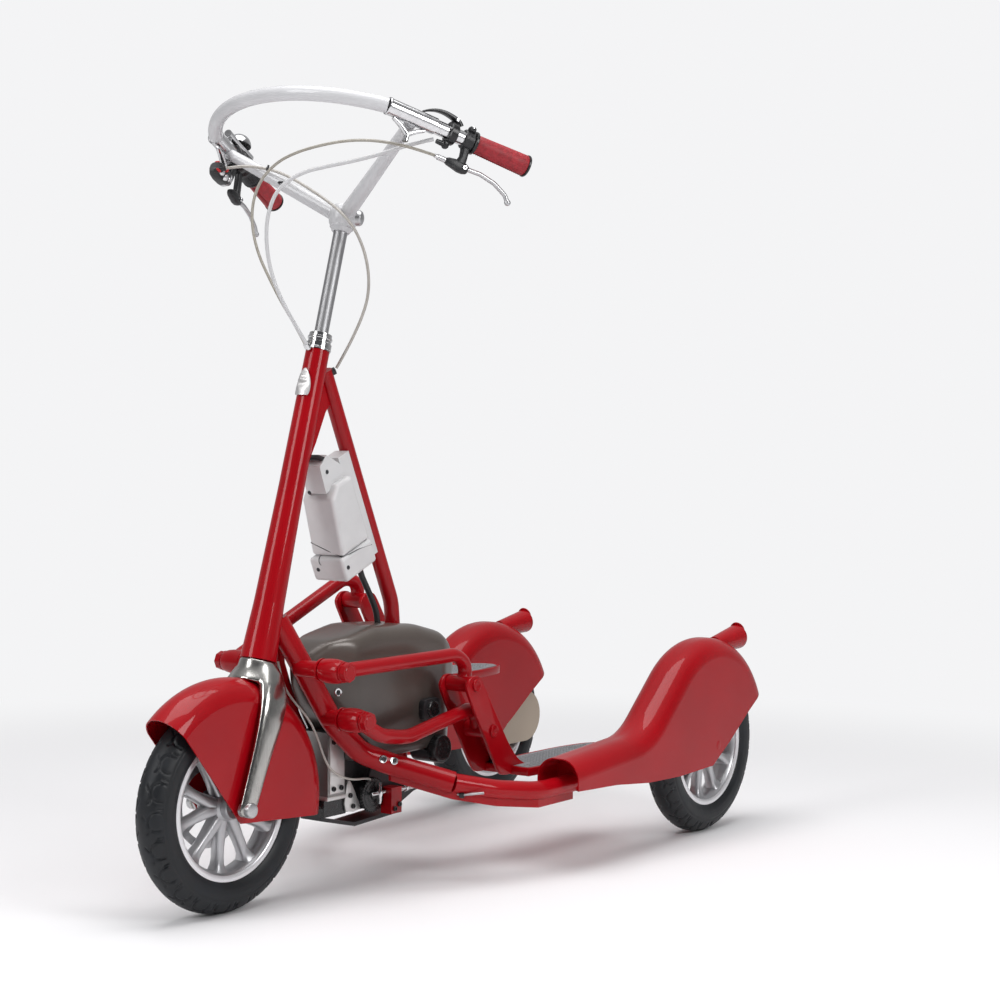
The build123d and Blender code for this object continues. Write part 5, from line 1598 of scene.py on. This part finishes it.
    def _tension_screw(self) -> None:
        """Add the screw that tensions the drive, with its wing nut and two plain nuts."""
        thread = ((0, 40), (2.4, 40), (3, 39), (3, -4), (0, -4))
        shank = ((0, 42), (4, 42), (4.8, 41), (4.8, 0), (0, 0))
        half_wing = ((0, 6.2, 5), (5, 5.4, 3), (12, 4.8, 2.2), (17, 3.4, 1.9))
        wing = [((0.0, 0.0, -z), width, depth) for z, width, depth in half_wing[:0:-1]]
        wing += [((0.0, 0.0, z), width, depth) for z, width, depth in half_wing]
        nut = Shape().prism(6, 7.2, 7.0).soften(0.6)
        screw = Shape().join(Shape().limb(wing, ACROSS, 2.6), seat((677, 50, 141), UP, AHEAD))
        for shape, x, along in (
            (Shape().lathe(thread, 20), 656.0, AHEAD), (Shape().lathe(shank, 24), 634.0, -AHEAD),
            (nut, 632, -AHEAD), (nut, 614, -AHEAD),
        ):
            screw.join(shape, seat((x, 50.0, 141.0), along))
        self.machine.put("tension_screw", screw, Finish.CHROME, "frame")

    def _rail_rod(self) -> None:
        """Run a thin rod below the left rail, with its clip."""
        rod = Shape().limb([(place, 2.1, 2.1) for place in self.rod], (0.0, 0.2, 1.0)).moved(FROM_MM)
        self.machine.put("rail_rods", rod, Finish.SATIN_STEEL, "frame")
        profile = ((2, -3.6), (4.6, -3.6), (5.2, -3), (5.2, 3), (4.6, 3.6), (2, 3.6))
        run = Vector(self.rod[3]) - Vector(self.rod[1])
        clip = Shape().lathe(profile, 24, closed=True).moved(seat(self.rod[2], run))
        self.machine.put("rail_rod_clips", clip, Finish.BLACK_GLOSS, "frame")

    def _plates(self) -> None:
        """Add the alloy plates round the motor and the socket bolts."""
        outline = ((736, 118), (737, 144), (731, 166), (722, 160), (709, 136), (701, 117))
        alloy = Shape().slab(flowing(outline, 2), 3.0).soften(0.5).moved(side_on(28.0))
        alloy.join(Shape().box(33, 3, 92).soften(1), seat((758.5, 30.4, 196), UP, AHEAD))
        alloy.join(Shape().box(46, 64, 7).soften(1.4), seat((758.5, 0, 143), UP, AHEAD))
        self.machine.put("alloy_plates", alloy, Finish.PLATE, "frame", 25.0)
        profile = ((0, 1.6), (1.9, 1.6), (2.1, 3.4), (3.6, 3.4), (4.1, 2.6), (4.1, 0), (0, 0))
        bolt, bolts = Shape().lathe(profile, 20), Shape()
        for place in (
            (720, 31, 124), (727, 31, 142), (650, 60, 113), (638.5, 60, 119),
            (768, 31.9, 158), (750, 31.9, 158), (768, 31.9, 232),
        ):
            bolts.join(bolt, seat(place, ACROSS))
        self.machine.put("socket_bolts", bolts, Finish.BLACK_GLOSS, "frame")

    def _horn_ends(self) -> None:
        """Close the tail horns with shallow dished discs, and cover the axle ends in the fenders with plugs."""
        profile = ((0, -1), (9, -0.8), (12.4, 0.4), (13.6, 1.4), (14.4, 0.6), (14.4, -1.6), (0, -1.6))
        disc = Shape().lathe(profile, 40)
        plug = Shape().lathe([(0, 0.9), (5, 0.8), (7.6, 0.3), (8.2, -0.3), (0, -1.4)], 32)
        ends = Shape()
        for side in (1, -1):
            ends.join(plug, seat((0.0, 285.8 * side, 159.0), ACROSS * side))
            ends.join(disc, seat((-139, 244.8 * side, 356), (-0.92, 0, 0.38)))
        self.machine.put("horn_end_discs", ends, Finish.RED, "frame")

    def _cable(self) -> None:
        """Lay the drive's short fixed lead beside the motor."""
        self.machine.wire("drive_lead", self.lead, 1.9, Finish.PALE_BRAID, "frame")


@dataclass
class Studio:
    """The pale sweep, the soft lamps and the camera."""

    camera_place: Place = (2.5913605, 2.0286035, 0.7026981)
    yaw: float = 3.77681721
    pitch: float = -0.02593086
    roll: float = 0.00623480
    focal_pixels: float = 1949.61
    image_side: float = 1000.0
    centre_shift: Flat = (-10.18, -6.48)
    sensor: float = 36.0
    sweep_colour: Colour = (0.905, 0.905, 0.915, 1.0)
    wall_stops: tuple[tuple[float, Colour], ...] = (
        (0, (0.5, 0.5, 0.51, 1)), (0.3, (0.3, 0.3, 0.305, 1)), (0.55, (0.2, 0.2, 0.205, 1)),
        (0.7, (0.1, 0.1, 0.105, 1)), (1, (0.07, 0.07, 0.075, 1)),
    )
    ceiling_stops: tuple[tuple[float, Colour], ...] = (
        (0.2, (0.25, 0.25, 0.255, 1)), (1, (0.75, 0.75, 0.76, 1)),
    )

    def build(self) -> None:
        """Set the camera, the floor, the world and the lamps."""
        self._camera()
        self._floor()
        self._world()
        self._lamps()
        bpy.context.scene.view_settings.view_transform = "Standard"

    def _camera(self) -> None:
        """Put the camera where the photograph was taken from."""
        data = bpy.data.cameras.new("photo_camera")
        data.sensor_width = self.sensor
        data.lens = self.sensor * self.focal_pixels / self.image_side
        data.shift_x = -self.centre_shift[0] / self.image_side
        data.shift_y = self.centre_shift[1] / self.image_side
        data.clip_end = 60.0
        camera = bpy.data.objects.new("photo_camera", data)
        bpy.context.scene.collection.objects.link(camera)
        forward = Vector((
            math.cos(self.yaw) * math.cos(self.pitch), math.sin(self.yaw) * math.cos(self.pitch), math.sin(self.pitch)
        ))
        level = Vector((math.sin(self.yaw), -math.cos(self.yaw), 0.0))
        above = level.cross(forward)
        right = level * math.cos(self.roll) + above * math.sin(self.roll)
        top = above * math.cos(self.roll) - level * math.sin(self.roll)
        turn = Matrix((right, top, -forward)).transposed().to_4x4()
        camera.matrix_world = Matrix.Translation(self.camera_place) @ turn
        bpy.context.scene.camera = camera

    def _floor(self) -> None:
        """Lay a wide pale floor that keeps the soft shadow."""
        shape = Shape()
        bmesh.ops.create_circle(shape.bm, cap_ends=True, radius=30.0, segments=96)
        mesh = bpy.data.meshes.new("studio_floor")
        shape.bm.to_mesh(mesh)
        floor = bpy.data.objects.new("studio_floor", mesh)
        bpy.context.scene.collection.objects.link(floor)
        recipe = Recipe("studio_floor")
        cloud = recipe.noise(0.6, 2.0)
        base = recipe.mix(cloud, (0.83, 0.825, 0.835, 1.0), (0.86, 0.855, 0.865, 1.0))
        paper = recipe.node("ShaderNodeBsdfDiffuse", {}, {"Color": base})
        sweep = recipe.node("ShaderNodeEmission", {}, {"Color": self.sweep_colour, "Strength": 1.0})
        x, y, _ = recipe.parts(recipe.place())
        far = ((x * x + y * y) ** 0.5).fade(0.9, 2.3)
        seen = recipe.node("ShaderNodeLightPath", output="Is Camera Ray")
        mirrored = recipe.node("ShaderNodeLightPath", output="Is Glossy Ray")
        blend = recipe.node("ShaderNodeMixShader", {}, {0: far * (seen + mirrored * 0.2), 1: paper, 2: sweep})
        mesh.materials.append(recipe.close(blend))

    def _world(self) -> None:
        """Surround the machine with a pale room."""
        recipe = Recipe("pale_room", "worlds")
        bpy.context.scene.world = recipe.owner
        around = recipe.coordinate("Generated")
        _, _, rise = recipe.parts(around)
        behind = (-math.cos(self.yaw) * 0.5, -math.sin(self.yaw) * 0.5, 0.0)
        side = recipe.node("ShaderNodeVectorMath", {"operation": "DOT_PRODUCT"}, {0: around, 1: behind}, "Value")
        walls = recipe.node("ShaderNodeValToRGB", {"stops": self.wall_stops}, {"Fac": side + 0.5})
        ceiling = recipe.node("ShaderNodeValToRGB", {"stops": self.ceiling_stops}, {"Fac": rise})
        cover = recipe.node("ShaderNodeMapRange", {}, {"Value": rise, "From Min": 0.55, "From Max": 0.95})
        room = recipe.node("ShaderNodeBackground", {}, {"Color": recipe.mix(cover, walls, ceiling)})
        sweep = recipe.node("ShaderNodeBackground", {}, {"Color": self.sweep_colour})
        seen = recipe.node("ShaderNodeLightPath", output="Is Camera Ray")
        recipe.close(recipe.node("ShaderNodeMixShader", {}, {0: seen, 1: room, 2: sweep}), "ShaderNodeOutputWorld")

    def _lamps(self) -> None:
        """Hang the soft boxes."""
        self._lamp("soft_box_top", (0.3, 0.2, 3.2), (0, 0, 0.3), 2.6, 2, 62)
        self._lamp("soft_box_left", (0.4, 3.2, 2), (0, 0, 0.5), 1.3, 1.5, 46)
        self._lamp("soft_box_front", (3.4, -0.8, 2.2), (0.2, 0.0, 0.5), 1.2, 1.8, 44.0)

    @staticmethod
    def _lamp(name: str, place: Place, target: Place, width: float, height: float, power: float) -> None:
        """Hang one soft box that looks at a target."""
        data = bpy.data.lights.new(name, "AREA")
        data.shape = "RECTANGLE"
        data.size = width
        data.size_y = height
        data.energy = power
        lamp = bpy.data.objects.new(name, data)
        bpy.context.scene.collection.objects.link(lamp)
        look = Vector(target) - Vector(place)
        lamp.matrix_world = Matrix.Translation(place) @ look.to_track_quat("-Z", "Y").to_matrix().to_4x4()


def main() -> None:
    """Build every sub-assembly in order."""
    logging.basicConfig(level=logging.INFO, format="%(message)s")
    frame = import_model()
    machine = Machine(frame)
    Studio().build()
    for assembly in (ControlCables, Chassis, Wheels, Fork, Handlebar, Pedals, SmallTrim):
        log.info("building %s", assembly.__name__)
        assembly(machine).build()
    left = sorted(set(frame["nodes"]) - machine.dressed)
    log.info("nodes without a finish: %s", left)


if __name__ == "__main__":
    main()
